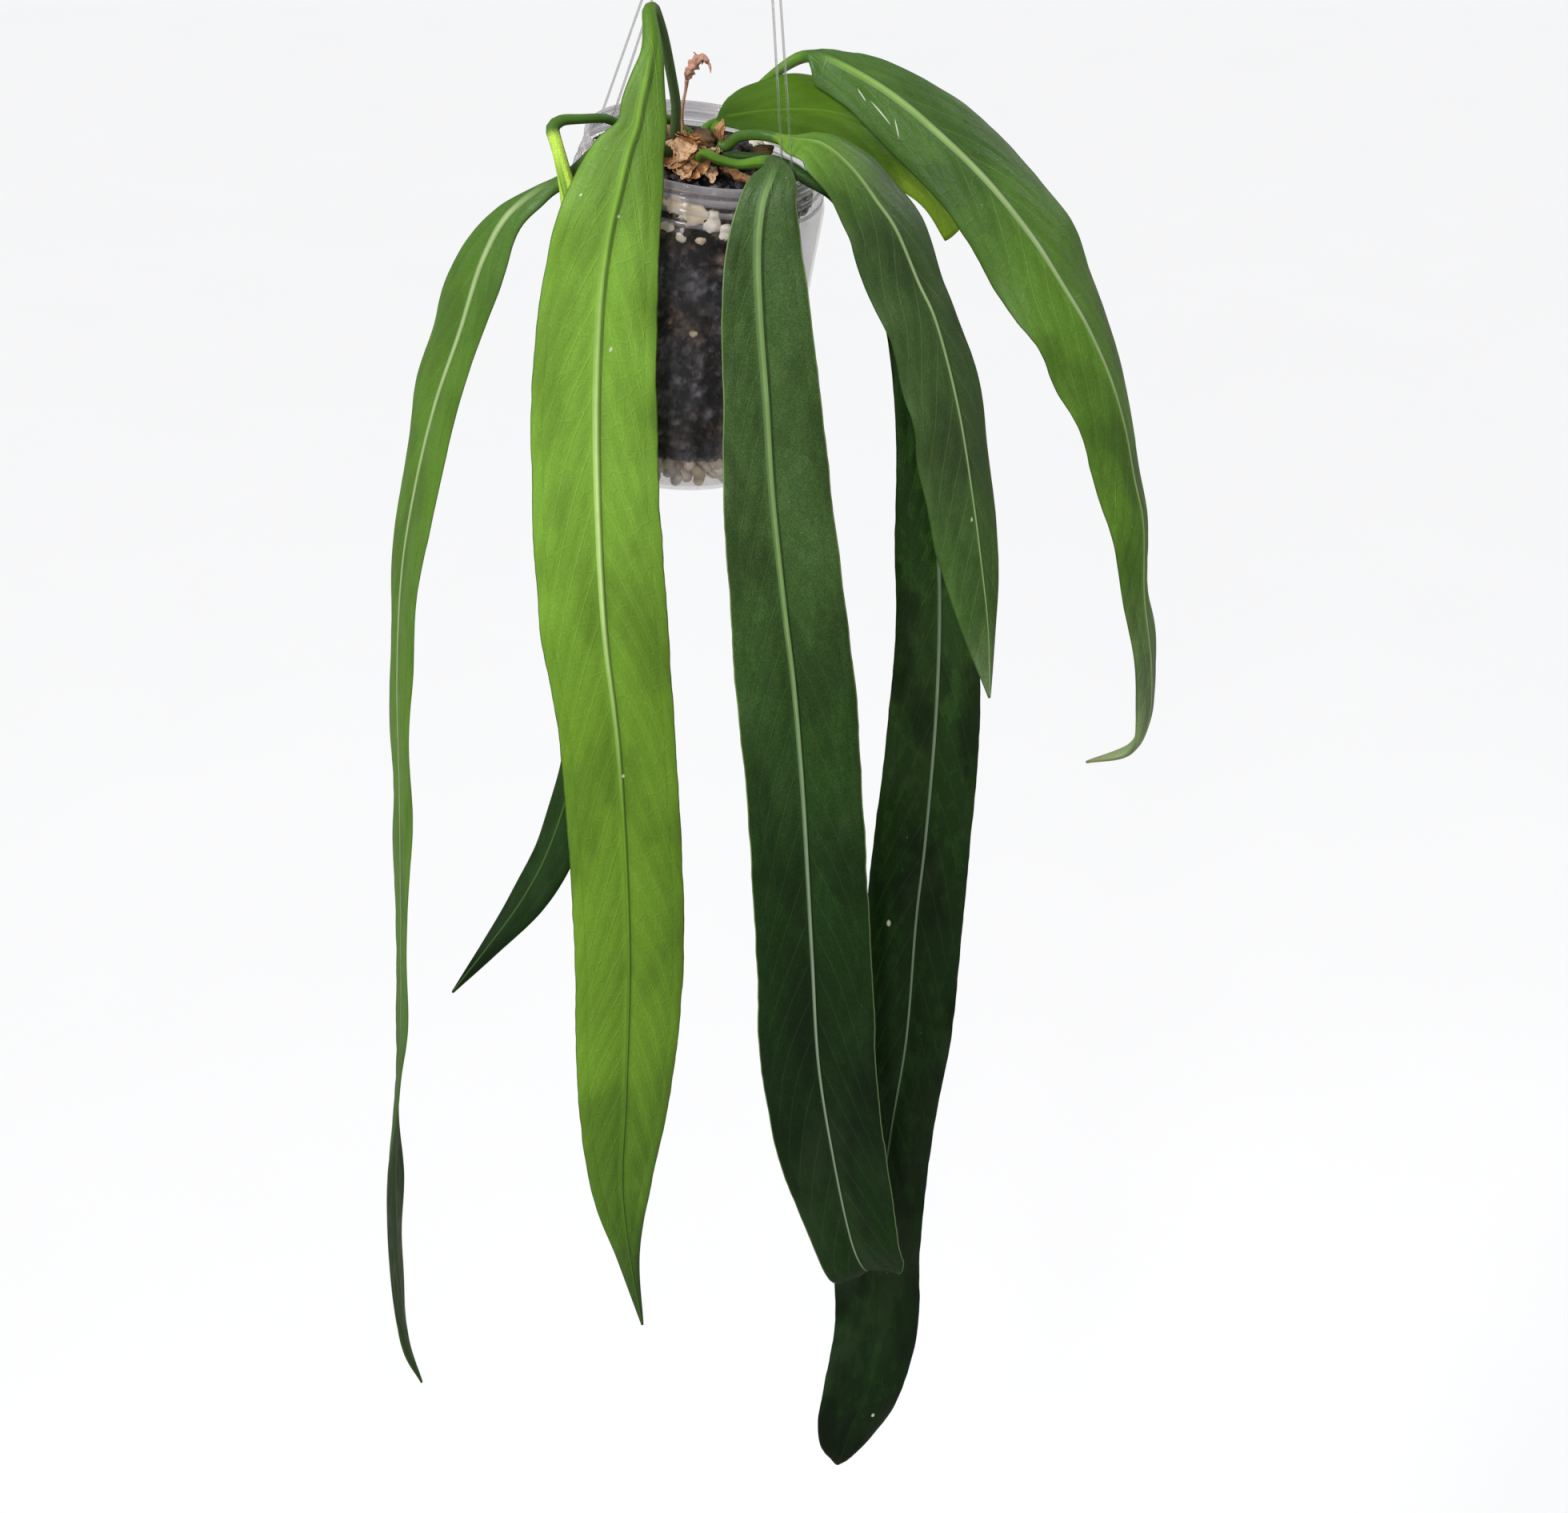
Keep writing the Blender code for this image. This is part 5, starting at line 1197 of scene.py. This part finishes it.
def clear_plastic(name, clearness, body):
    """Blow-moulded clear PET: glossy and thin, milky from fine scratches and dried water."""
    made, node = new_material(name)
    pot = settings().pot
    place = node("TexCoord", out=3)
    cloud = node("TexNoise", {0: place, 2: 1 / 0.03, 3: 3.0, 4: 0.6})
    scuff = node("TexNoise", {0: place, 2: 1 / 0.0012, 3: 2.0, 4: 0.7})
    rough = node("MapRange", {0: cloud, 1: 0.35, 2: 0.7, 3: pot.roughness, 4: pot.roughness + 0.04})
    tint = node("ValToRGB", {0: cloud}, stops=((0.3, "#f8f5f9"), (0.7, "#eae2ea")))
    ripple = node("TexNoise", {0: place, 2: 1 / 0.011, 3: 1.0})
    height = node("Math", {0: node("Math", {0: ripple, 1: 0.28}, **TIMES),
                           1: node("Math", {0: scuff, 1: 0.03}, **TIMES)}, **PLUS)
    bump = node("Bump", {"Height": height, "Distance": MM, "Strength": 0.7})
    clear = node("MapRange", {0: cloud, 1: 0.35, 2: 0.7, 3: clearness, 4: clearness - 0.1})
    node("OutputMaterial", {0: node("BsdfPrincipled", {
        "Base Color": tint, "Roughness": rough, "Normal": bump, "IOR": 1.5, "Alpha": body,
        "Transmission Weight": clear, "Specular IOR Level": 1.0})})
    return made


def build_pot():
    """The clear pot, milkier where its plastic is thick: in the lip and the beads."""
    pot = settings().pot
    profile = pot_profile()
    points, faces = lathe(profile, pot.sides, WALL_WOBBLE)
    kinds = []
    for r, z in profile[:-1]:
        on_bead = any(abs(z + depth) < 1.5 for depth, _ in BEADS) and r > inner_radius(-z) + 0.6
        kinds += [int(z > -LIP_DEPTH - 1 or (r > 50 and on_bead))] * pot.sides
    kinds += [0] * (len(faces) - len(kinds))
    finishes = [clear_plastic("blow_moulded_clear_pet", pot.clearness, pot.body),
                clear_plastic("thick_milky_pet_rim", pot.rim_clearness, RIM_BODY)]
    cut_holes(mesh_piece("clear_pot", all_in_pot(points), faces, finishes, "pot", kinds))


def cut_holes(obj):
    """Bores the two cord holes under the lip."""
    for side, angle in HOLE_ANGLES.items():
        shape = bmesh.new()
        radius = HOLE_DIAMETER / 2 * MM
        bmesh.ops.create_cone(shape, cap_ends=True, segments=24, radius1=radius, radius2=radius, depth=8 * MM)
        bmesh.ops.rotate(shape, verts=shape.verts, matrix=Matrix.Rotation(math.pi / 2, 3, "Y"))
        turn = math.radians(angle)
        place = Matrix.Translation(in_pot(*around(NECK_RADIUS, turn, -HOLE_DEPTH)) * MM)
        shape.transform(place @ pot_frame().to_3x3().to_4x4() @ Matrix.Rotation(turn, 4, "Z"))
        drill = bpy.data.meshes.new("drill")
        shape.to_mesh(drill)
        shape.free()
        cutter = bpy.data.objects.new("drill_" + side, drill)
        link(cutter)
        cut = obj.modifiers.new("hole_" + side, "BOOLEAN")
        cut.operation = "DIFFERENCE"
        cut.object = cutter
        graph = bpy.context.evaluated_depsgraph_get()
        cut_mesh = bpy.data.meshes.new_from_object(obj.evaluated_get(graph))
        obj.modifiers.remove(cut)
        obj.data = cut_mesh
        bpy.data.objects.remove(cutter, do_unlink=True)
    obj.data.shade_smooth()


def stone_tones(source, seed, kinds):
    """Which of the kinds each stone is, from its number."""
    spread = [0.5 + 0.5 * math.sin(12.9898 * (k + seed)) * math.cos(4.1 * k) for k in source]
    return [int(kinds * share * 0.999) for share in spread]


def pebble_stone(name, light, dark):
    """Washed river gravel: matt, each stone of another tone, with fine dark speckles."""
    made, node = new_material(name)
    place = node("TexCoord", out=3)
    cloud = node("TexNoise", {0: place, 2: 1 / 0.006, 3: 3.0, 4: 0.6})
    speck = node("TexNoise", {0: place, 2: 1 / 0.0009, 3: 2.0, 4: 0.7})
    colour = node("ValToRGB", {0: cloud}, stops=((0.3, dark), (0.6, light)))
    on_speck = node("MapRange", {0: speck, 1: 0.6, 2: 0.7, 4: 0.25})
    spotted = node("Mix", {0: on_speck, 6: colour, 7: "#7f7368"}, **BLEND)
    bump = node("Bump", {"Height": speck, "Distance": 0.4 * MM, "Strength": 0.6})
    node("OutputMaterial", {0: node("BsdfPrincipled", {
        "Base Color": spotted, "Roughness": 0.75, "Specular IOR Level": 0.3, "Normal": bump})})
    return made


# The gravel's stones by tone: the name of the finish, its light and its dark.
GRAVEL_TONES = (("river_gravel_cream", "#fffaf0", "#e8dcc8"), ("river_gravel_pink", "#fdeade", "#ecd4c4"),
                ("river_gravel_grey", "#f6f2ea", "#dcd4c8"), ("river_gravel_brown", "#f2e4cc", "#d8c4a8"))
# Its layers: height over the floor and stones round the wall. Each has a second, shorter ring further in.
GRAVEL_LAYERS = ((3.6, 27), (8.6, 28), (13.2, 29))
GRAVEL_RINGS = ((3.5, 1), (10, 0.72))


def build_pebbles():
    """A bed of washed gravel on the pot's floor, stone on stone, round a packed middle."""
    floor = POT_HEIGHT - POT_WALL - GAP
    shapes = []
    for level, (height, most) in enumerate(GRAVEL_LAYERS):
        z = -floor + height
        for ring, (inset, share) in enumerate(GRAVEL_RINGS):
            many = round(most * share)
            # The lowest outer stones keep off the foot's rounding.
            reach = inner_radius(-z) - GAP - inset - (1.0 if level == 0 and ring == 0 else 0.3)
            for k in range(many):
                seed = level * 100 + ring * 50 + k
                drift = wander(seed * 0.7, 2.3, 0)
                turn = 2 * math.pi * (k + 0.5 * (level % 2) + 0.3 * drift) / many
                size = 4.0 + 0.9 * drift
                centre = around(reach, turn, z + 0.7 * wander(seed, 0, 1.7))
                shapes.append(lumpy_ball(centre, (size * 1.15, size, size * 0.82), turn + drift, seed))
    core = [(0.01, -floor + 0.3), (44, -floor + 0.3), (46, -floor + 8), (45, -floor + PEBBLE_LAYER - 1.2),
            (0.01, -floor + PEBBLE_LAYER - 0.8)]
    shapes.append(lathe(core, 64))
    points, faces, source = joined(shapes)
    points = all_in_pot(held_inside(np.array(points)))
    finishes = [pebble_stone(*tone) for tone in GRAVEL_TONES]
    mesh_piece("gravel_bed", points, faces, finishes, "drainage_pebbles",
               stone_tones(source, 3, len(finishes)))


def held_inside(points):
    """Points in the pot's frame, kept off its wall and its floor."""
    reach = np.hypot(points[:, 0], points[:, 1])
    room = np.array([inner_radius(-z) - GAP for z in points[:, 2]])
    points[:, :2] *= np.minimum(1, room / np.maximum(reach, 1e-6))[:, None]
    points[:, 2] = np.maximum(points[:, 2], -POT_HEIGHT + POT_WALL + GAP)
    return points


def chunk_relief(points, size):
    """How deep the crevices between chunks of bark are, from 0 on a chunk to 1, and each chunk's tone."""
    crevice, tone = [], []
    for p in points:
        distances, places = noise.voronoi(Vector(p) / size)
        crevice.append(max(0, 1 - (distances[1] - distances[0]) / 0.42))
        tone.append(0.5 + 0.5 * math.sin(41 * places[0].x + 17 * places[0].y + 29 * places[0].z))
    return np.array(crevice), np.array(tone)


def hollow_at(degrees):
    """How far the mix has fallen away from the wall, from 0 to 1: only at the right of the pot."""
    return smoothly(degrees, -46, -26) * (1 - smoothly(degrees, 40, 70))


def build_substrate():
    """Damp bark mix: a heap of dark chunks with crevices between them, pressed against the clear wall."""
    pot = settings().pot
    bottom = POT_HEIGHT - POT_WALL - PEBBLE_LAYER
    turns = turns_of(pot.substrate_sides)
    side = [(inner_radius(depth) - GAP - 0.1, t, -depth)
            for depth in np.linspace(bottom, SUBSTRATE_DEPTH + 1, pot.substrate_rows) for t in turns]
    over = [(max(0.02, share) * (inner_radius(SUBSTRATE_DEPTH) - 1), t, -SUBSTRATE_DEPTH + 0.4)
            for share in np.linspace(0.985, 0.0, 46) for t in turns]
    radius, turn, z = np.array(side + over).T
    inward = np.repeat([1, 0], [len(side), len(over)])
    flat_points = np.stack([radius * np.cos(turn), radius * np.sin(turn), z], axis=1)
    # Chunks some 6.5 and 2.6 mm across.
    crevice, tone = chunk_relief(flat_points, 6.5)
    small, small_tone = chunk_relief(flat_points + 31, 2.6)
    grain = noise_at(flat_points, 2.2, 5)
    # The hollow at the right goes down to half the pot's depth.
    degrees = (np.degrees(turn) + 180) % 360 - 180
    hollow = hollow_at(degrees) * smoothly(z, -78, -52) * inward
    sink = 1.5 * crevice + 0.7 * small + 0.35 * grain + hollow * (11 + 3 * noise_at(flat_points, 14, 2))
    heap = -3.2 * crevice - 0.9 * small + 0.5 * grain + 1.2 * noise_at(flat_points, 16, 7)
    z = z + (1 - inward) * (heap - 7 * hollow_at(degrees) * smoothly(radius, 30, 55))
    radius = radius - inward * np.maximum(sink, 0)
    points = np.stack([radius * np.cos(turn), radius * np.sin(turn), z], axis=1)
    tone = 0.75 * tone + 0.25 * small_tone
    crevice = np.clip(crevice + 0.4 * small, 0, 1)
    heap = (points, closed_faces(len(points) // len(turns), len(turns)))
    points, faces, source = joined([heap] + pale_lumps())
    bare = source.count(0)
    stones = stone_tones([k - 1 for k in source[bare:]], 1, 2)
    finishes = [damp_bark_mix(), pebble_stone("pumice_cream", "#fff8e8", "#ecdcc0"),
                pebble_stone("pumice_sand", "#fbecd0", "#dcc29c")]
    piece = mesh_piece("bark_mix", all_in_pot(points), faces, finishes, "substrate",
                       [0] * bare + [1 + kind for kind in stones])
    lumps = np.zeros(len(points) - len(tone))
    lay_map(piece.data, "chunk", np.concatenate([tone, lumps]), np.concatenate([crevice, lumps]))


def damp_bark_mix():
    """Damp bark and fibre: brown on the chunks, hazy where the wall has dew, with painted shade that makes
    the crevices near black.
    """
    made, node = new_material("damp_bark_mix")
    chunk = node("SeparateXYZ", {0: node("UVMap", uv_map="chunk")})
    crevice = chunk.node.outputs[1]
    place = node("TexCoord", out=3)
    upright = node("Mapping", {0: place, 3: (1, 1, 0.4)})
    fibre = node("TexNoise", {0: upright, 2: 1 / 0.0016, 3: 3.0, 4: 0.65})
    haze = node("TexNoise", {0: place, 2: 1 / 0.03, 3: 2.0, 4: 0.5})
    blotch = node("TexNoise", {0: place, 2: 1 / 0.009, 3: 6.0, 4: 0.68})
    crumbs = node("ValToRGB", {0: blotch}, stops=((0.44, "#080606"), (0.48, "#4a3e38"), (0.56, "#846e5e"),
                                                  (0.64, "#a48c78"), (0.72, "#dccab4")))
    dewy = node("ValToRGB", {0: blotch}, stops=((0.44, "#08080a"), (0.49, "#565862"), (0.58, "#8c8e9c"),
                                                (0.72, "#b4b6c2")))
    # Over the crumbs lie the dew's haze, each chunk's own tone, pale fibres and painted shade in the
    # crevices.
    colour = crumbs
    for pattern, low, high, most, tone, how in (
            (haze, 0.4, 0.58, 0.85, dewy, BLEND), (chunk, 0.7, 0.0, 0.6, "#6a5f58", TINT),
            (fibre, 0.6, 0.72, 0.35, "#b4aca4", BLEND), (crevice, 0.1, 0.95, 0.7, "#0b0808", BLEND)):
        mask = node("MapRange", {0: pattern, 1: low, 2: high, 4: most})
        colour = node("Mix", {0: mask, 6: colour, 7: tone}, **how)
    bump = node("Bump", {"Height": fibre, "Distance": 0.5 * MM, "Strength": 0.7})
    node("OutputMaterial", {0: node("BsdfPrincipled", {
        "Base Color": colour, "Roughness": node("MapRange", {0: haze, 3: 0.95, 4: 0.7}),
        "Specular IOR Level": 0.25, "Normal": bump})})
    return made


# Pale lumps of pumice behind the wall: angle round the pot, depth, and half sizes across, deep and high.
PALE_LUMPS = (
    (-92, 16.5, (8, 4.6, 6.6)), (-82.5, 18, (4.6, 4, 6.2)), (-76, 21.5, (3.8, 3.6, 4.6)),
    (-101, 13, (5.6, 4, 4.6)), (-103, 22.5, (4, 3, 3.2)), (-96, 26, (3, 3, 2.4)), (-87, 26, (2.8, 2.6, 2)),
    (-111, 16, (6, 4, 5)),
    (-64, 20, (3, 2.6, 3)), (-52, 13, (4, 3, 3)), (-124, 22, (3.4, 3, 2.6)), (-140, 14, (5, 3.6, 3.6)),
    (-158, 21, (4, 3, 3)), (-176, 13, (5, 3.4, 3)), (160, 17, (4, 3, 4)), (140, 24, (3, 3, 3)),
    (118, 14, (5, 3.6, 3.6)), (96, 20, (4, 3, 3)), (74, 26, (3.4, 3, 3)), (60, 15, (4.6, 3.4, 3)),
    (-70, 40, (2.2, 2, 1.6)), (-120, 58, (2.6, 2, 2)), (-84, 76, (2.2, 2, 1.8)), (-108, 96, (2.6, 2, 2)),
    (-60, 104, (2.4, 2, 2)), (-150, 84, (3, 2.4, 2)), (110, 66, (3, 2.4, 2.4)), (150, 104, (3, 2.4, 2)),
    (80, 118, (3, 2.4, 2.4)))


def pale_lumps():
    """Pale lumps of pumice that show through the wall, most of them under the lip."""
    shapes = []
    for k, (angle, depth, half) in enumerate(PALE_LUMPS):
        turn = math.radians(angle)
        points, faces = lumpy_ball((0, 0, 0), half, 0.35 * math.sin(k), k + 3, 0.25)
        x, y, z = np.array(points).T
        spun = np.stack([-math.sin(turn) * x + math.cos(turn) * y,
                         math.cos(turn) * x + math.sin(turn) * y, z], axis=1)
        place = around(inner_radius(depth) - GAP - half[1] * 0.95, turn, -depth)
        shapes.append((held_inside(spun + place), faces))
    return shapes


def studio_floor():
    """Matt white studio floor: paint on board, with the faintest roller mottle."""
    made, node = new_material("matt_white_floor_paint")
    place = node("TexCoord", out=3)
    mottle = node("TexNoise", {0: place, 2: 1 / 0.35, 3: 2.0})
    rolled = node("MapRange", {0: mottle, 3: 0.0, 4: 0.2})
    tint = node("Mix", {0: rolled, 6: settings().stage.floor_colour, 7: "#f2f2f2"}, **BLEND)
    # It throws less light back on the plant than is seen of it, as a floor that is lit only round the plant.
    thrown = node("BsdfDiffuse", {0: "#a9a6a2"})
    paint = node("BsdfPrincipled", {"Base Color": tint, "Roughness": 0.9, "Specular IOR Level": 0.1})
    node("OutputMaterial", {0: node("MixShader", {0: node("LightPath"), 1: thrown, 2: paint})})
    return made


def build_stage():
    """Pale floor, soft light from the upper left and the front, and the camera."""
    stage = settings().stage
    side = stage.floor_size / 2
    mesh = bpy.data.meshes.new("studio_floor")
    corners = [(x * side, y * side, stage.floor_height) for x, y in ((-1, -1), (1, -1), (1, 1), (-1, 1))]
    mesh.from_pydata(corners, [], [(0, 1, 2, 3)])
    mesh.materials.append(studio_floor())
    floor = bpy.data.objects.new("studio_floor", mesh)
    link(floor)

    for name, kind, place, aim, power, size in (
            ("sun_through_diffuser", "SUN", (-2.0, -1.7, 2.1), (0, 0, -0.4), stage.sun_strength, 0.5),
            ("strip_softbox", "AREA", (-0.25, -1.7, 0.5), (0, 0, -0.3), stage.softbox_power, 0.14),
            ("back_fill", "AREA", (1.5, 1.1, 0.9), (0, 0, -0.4), stage.fill_power, 1.2)):
        lamp = bpy.data.lights.new(name, kind)
        lamp.energy = power
        if kind == "SUN":
            lamp.angle = size
        else:
            lamp.shape = "RECTANGLE"
            lamp.size = size
            lamp.size_y = 1.2
        obj = bpy.data.objects.new(name, lamp)
        obj.location = place
        obj.rotation_euler = (Vector(aim) - Vector(place)).to_track_quat("-Z", "Y").to_euler()
        link(obj)

    world = bpy.data.worlds.new("white_room")
    world.use_nodes = True
    world.node_tree.nodes.clear()
    node = partial(add, world.node_tree)
    seen = node("Background", {0: "#ffffff", 1: 1.0})
    lit = node("Background", {0: "#fbfcff", 1: stage.room_light})
    node("OutputWorld", {0: node("MixShader", {0: node("LightPath"), 1: lit, 2: seen})})
    bpy.context.scene.world = world
    bpy.context.scene.view_settings.view_transform = "Standard"

    camera = bpy.data.cameras.new("camera")
    camera.lens = stage.lens
    camera.sensor_width = 36
    camera.clip_end = 60
    obj = bpy.data.objects.new("camera", camera)
    obj.location = stage.camera_place
    obj.rotation_euler = (stage.camera_tilt, 0, 0)
    link(obj)
    bpy.context.scene.camera = obj


class LeafSettings(bpy.types.PropertyGroup):
    ring_step: bpy.props.FloatProperty(
        name="Ring step", description="Distance in millimetres between the rings of a leaf's mesh",
        default=2.8, min=1, max=22)
    columns: bpy.props.IntProperty(
        name="Columns", description="Points across a leaf's face", default=38, min=8, max=96)
    thickness: bpy.props.FloatProperty(
        name="Thickness", description="A blade's thickness in millimetres beside its midrib",
        default=0.6, min=0.2, max=2)
    vein_spacing: bpy.props.FloatProperty(
        name="Vein spacing", description="Millimetres along the midrib from one side vein to the next",
        default=27, min=5, max=80)
    mottling: bpy.props.FloatProperty(
        name="Mottling", description="How strongly a blade's green varies", default=0.55, min=0, max=1,
        subtype="FACTOR")
    glow_colour: bpy.props.FloatVectorProperty(
        name="Light through", description="Tint of the light that comes through a blade",
        size=4, subtype="COLOR", default=linear("#b4d23c"))
    scar_colour: bpy.props.FloatVectorProperty(
        name="Scars", description="Colour of the pale corky scars", size=4, subtype="COLOR",
        default=linear("#dfe3c8"))


class PotSettings(bpy.types.PropertyGroup):
    sides: bpy.props.IntProperty(
        name="Sides", description="Flats round the pot's wall", default=160, min=24, max=400)
    substrate_sides: bpy.props.IntProperty(
        name="Mix sides", description="Columns round the bark mix", default=230, min=24, max=400)
    substrate_rows: bpy.props.IntProperty(
        name="Mix rows", description="Rows down the side of the bark mix", default=84, min=10, max=200)
    clearness: bpy.props.FloatProperty(
        name="Clearness", description="How much light goes through the pot's wall",
        default=0.975, min=0, max=1, subtype="FACTOR")
    body: bpy.props.FloatProperty(
        name="Body", description="How much of the pot's wall is seen rather than looked through",
        default=0.25, min=0, max=1, subtype="FACTOR")
    rim_clearness: bpy.props.FloatProperty(
        name="Rim clearness", description="How much light goes through the thick lip and beads",
        default=0.7, min=0, max=1, subtype="FACTOR")
    roughness: bpy.props.FloatProperty(
        name="Roughness", description="How dull the pot's wall is where it is clean",
        default=0.02, min=0, max=1, subtype="FACTOR")


class HangerSettings(bpy.types.PropertyGroup):
    cord_diameter: bpy.props.FloatProperty(
        name="Cord diameter", description="The nylon line's diameter in millimetres",
        default=1.3, min=0.5, max=3)


class StageSettings(bpy.types.PropertyGroup):
    floor_height: bpy.props.FloatProperty(
        name="Floor height", description="Height of the floor under the hook", default=-2.2, unit="LENGTH")
    floor_size: bpy.props.FloatProperty(
        name="Floor size", description="Length of the floor's side", default=40, unit="LENGTH")
    floor_colour: bpy.props.FloatVectorProperty(
        name="Floor colour", description="Colour of the floor's paint", size=4, subtype="COLOR",
        default=linear("#fcfcfc"))
    sun_strength: bpy.props.FloatProperty(
        name="Main light", description="Strength of the soft main light", default=2.7, min=0)
    softbox_power: bpy.props.FloatProperty(
        name="Softbox", description="Power of the strip softbox in front", default=10, min=0, unit="POWER")
    fill_power: bpy.props.FloatProperty(
        name="Fill", description="Power of the fill light behind", default=10, min=0, unit="POWER")
    room_light: bpy.props.FloatProperty(
        name="Room light", description="Strength of the light from all round", default=0.38, min=0)
    camera_place: bpy.props.FloatVectorProperty(
        name="Camera place", description="Where the camera stands", default=(0.022, -1.424, 0.168),
        subtype="TRANSLATION")
    camera_tilt: bpy.props.FloatProperty(
        name="Camera tilt", description="The camera's turn up from looking straight down",
        default=math.radians(63.5), subtype="ANGLE")
    lens: bpy.props.FloatProperty(
        name="Lens", description="Focal length in millimetres", default=66.1, min=10)


class PlantSettings(bpy.types.PropertyGroup):
    leaf: bpy.props.PointerProperty(
        type=LeafSettings, name="Leaves", description="Shape and colour of the leaves")
    pot: bpy.props.PointerProperty(type=PotSettings, name="Pot", description="The pot and what fills it")
    hanger: bpy.props.PointerProperty(type=HangerSettings, name="Hanger", description="The cords")
    stage: bpy.props.PointerProperty(type=StageSettings, name="Stage", description="Floor, light and camera")


class PLANT_OT_stage(bpy.types.Operator):
    """Lay the floor, set the lights and place the camera"""
    bl_idname = "plant.stage"
    bl_label = "Set the stage"

    def execute(self, context):
        build_stage()
        return {"FINISHED"}


class PLANT_OT_cords(bpy.types.Operator):
    """Hang the pot's two clear nylon cords"""
    bl_idname = "plant.cords"
    bl_label = "Hang the cords"

    def execute(self, context):
        build_cords()
        return {"FINISHED"}


class PLANT_OT_hook(bpy.types.Operator):
    """Mould the clear hook with its plate"""
    bl_idname = "plant.hook"
    bl_label = "Mould the hook"

    def execute(self, context):
        build_hook()
        return {"FINISHED"}


class PLANT_OT_pot(bpy.types.Operator):
    """Blow the clear pot and bore its cord holes"""
    bl_idname = "plant.pot"
    bl_label = "Blow the pot"

    def execute(self, context):
        build_pot()
        return {"FINISHED"}


class PLANT_OT_filling(bpy.types.Operator):
    """Fill the pot with gravel, bark mix and loose chips"""
    bl_idname = "plant.filling"
    bl_label = "Fill the pot"

    def execute(self, context):
        build_pebbles()
        build_substrate()
        build_chips()
        return {"FINISHED"}


class PLANT_OT_crown(bpy.types.Operator):
    """Grow the corky stem with its dead sheaths and last year's flower"""
    bl_idname = "plant.crown"
    bl_label = "Grow the crown"

    def execute(self, context):
        build_crown()
        build_sheaths()
        build_flower()
        return {"FINISHED"}


class PLANT_OT_leaves(bpy.types.Operator):
    """Grow the eight hanging leaves"""
    bl_idname = "plant.leaves"
    bl_label = "Grow the leaves"

    def execute(self, context):
        build_leaves()
        return {"FINISHED"}


STEPS = (PLANT_OT_stage, PLANT_OT_cords, PLANT_OT_hook, PLANT_OT_pot, PLANT_OT_filling, PLANT_OT_crown,
         PLANT_OT_leaves)


class PLANT_PT_panel(bpy.types.Panel):
    """Lists the steps that build the plant"""
    bl_idname = "PLANT_PT_panel"
    bl_label = "Hanging plant"
    bl_space_type = "VIEW_3D"
    bl_region_type = "UI"
    bl_category = "Hanging plant"

    def draw(self, context):
        for step in STEPS:
            self.layout.operator(step.bl_idname)
        plant = context.scene.hanging_plant
        for group in (plant.leaf, plant.pot, plant.hanger, plant.stage):
            box = self.layout.box()
            for name in group.__annotations__:
                box.prop(group, name)


CLASSES = (LeafSettings, PotSettings, HangerSettings, StageSettings, PlantSettings, *STEPS, PLANT_PT_panel)


def register():
    for one in CLASSES:
        bpy.utils.register_class(one)
    bpy.types.Scene.hanging_plant = bpy.props.PointerProperty(type=PlantSettings)


def unregister():
    del bpy.types.Scene.hanging_plant
    for one in reversed(CLASSES):
        bpy.utils.unregister_class(one)


def main():
    register()
    for step in STEPS:
        family, name = step.bl_idname.split(".")
        if getattr(getattr(bpy.ops, family), name)() != {"FINISHED"}:
            raise RuntimeError(step.bl_label + " didn't finish")


if __name__ == "__main__":
    main()
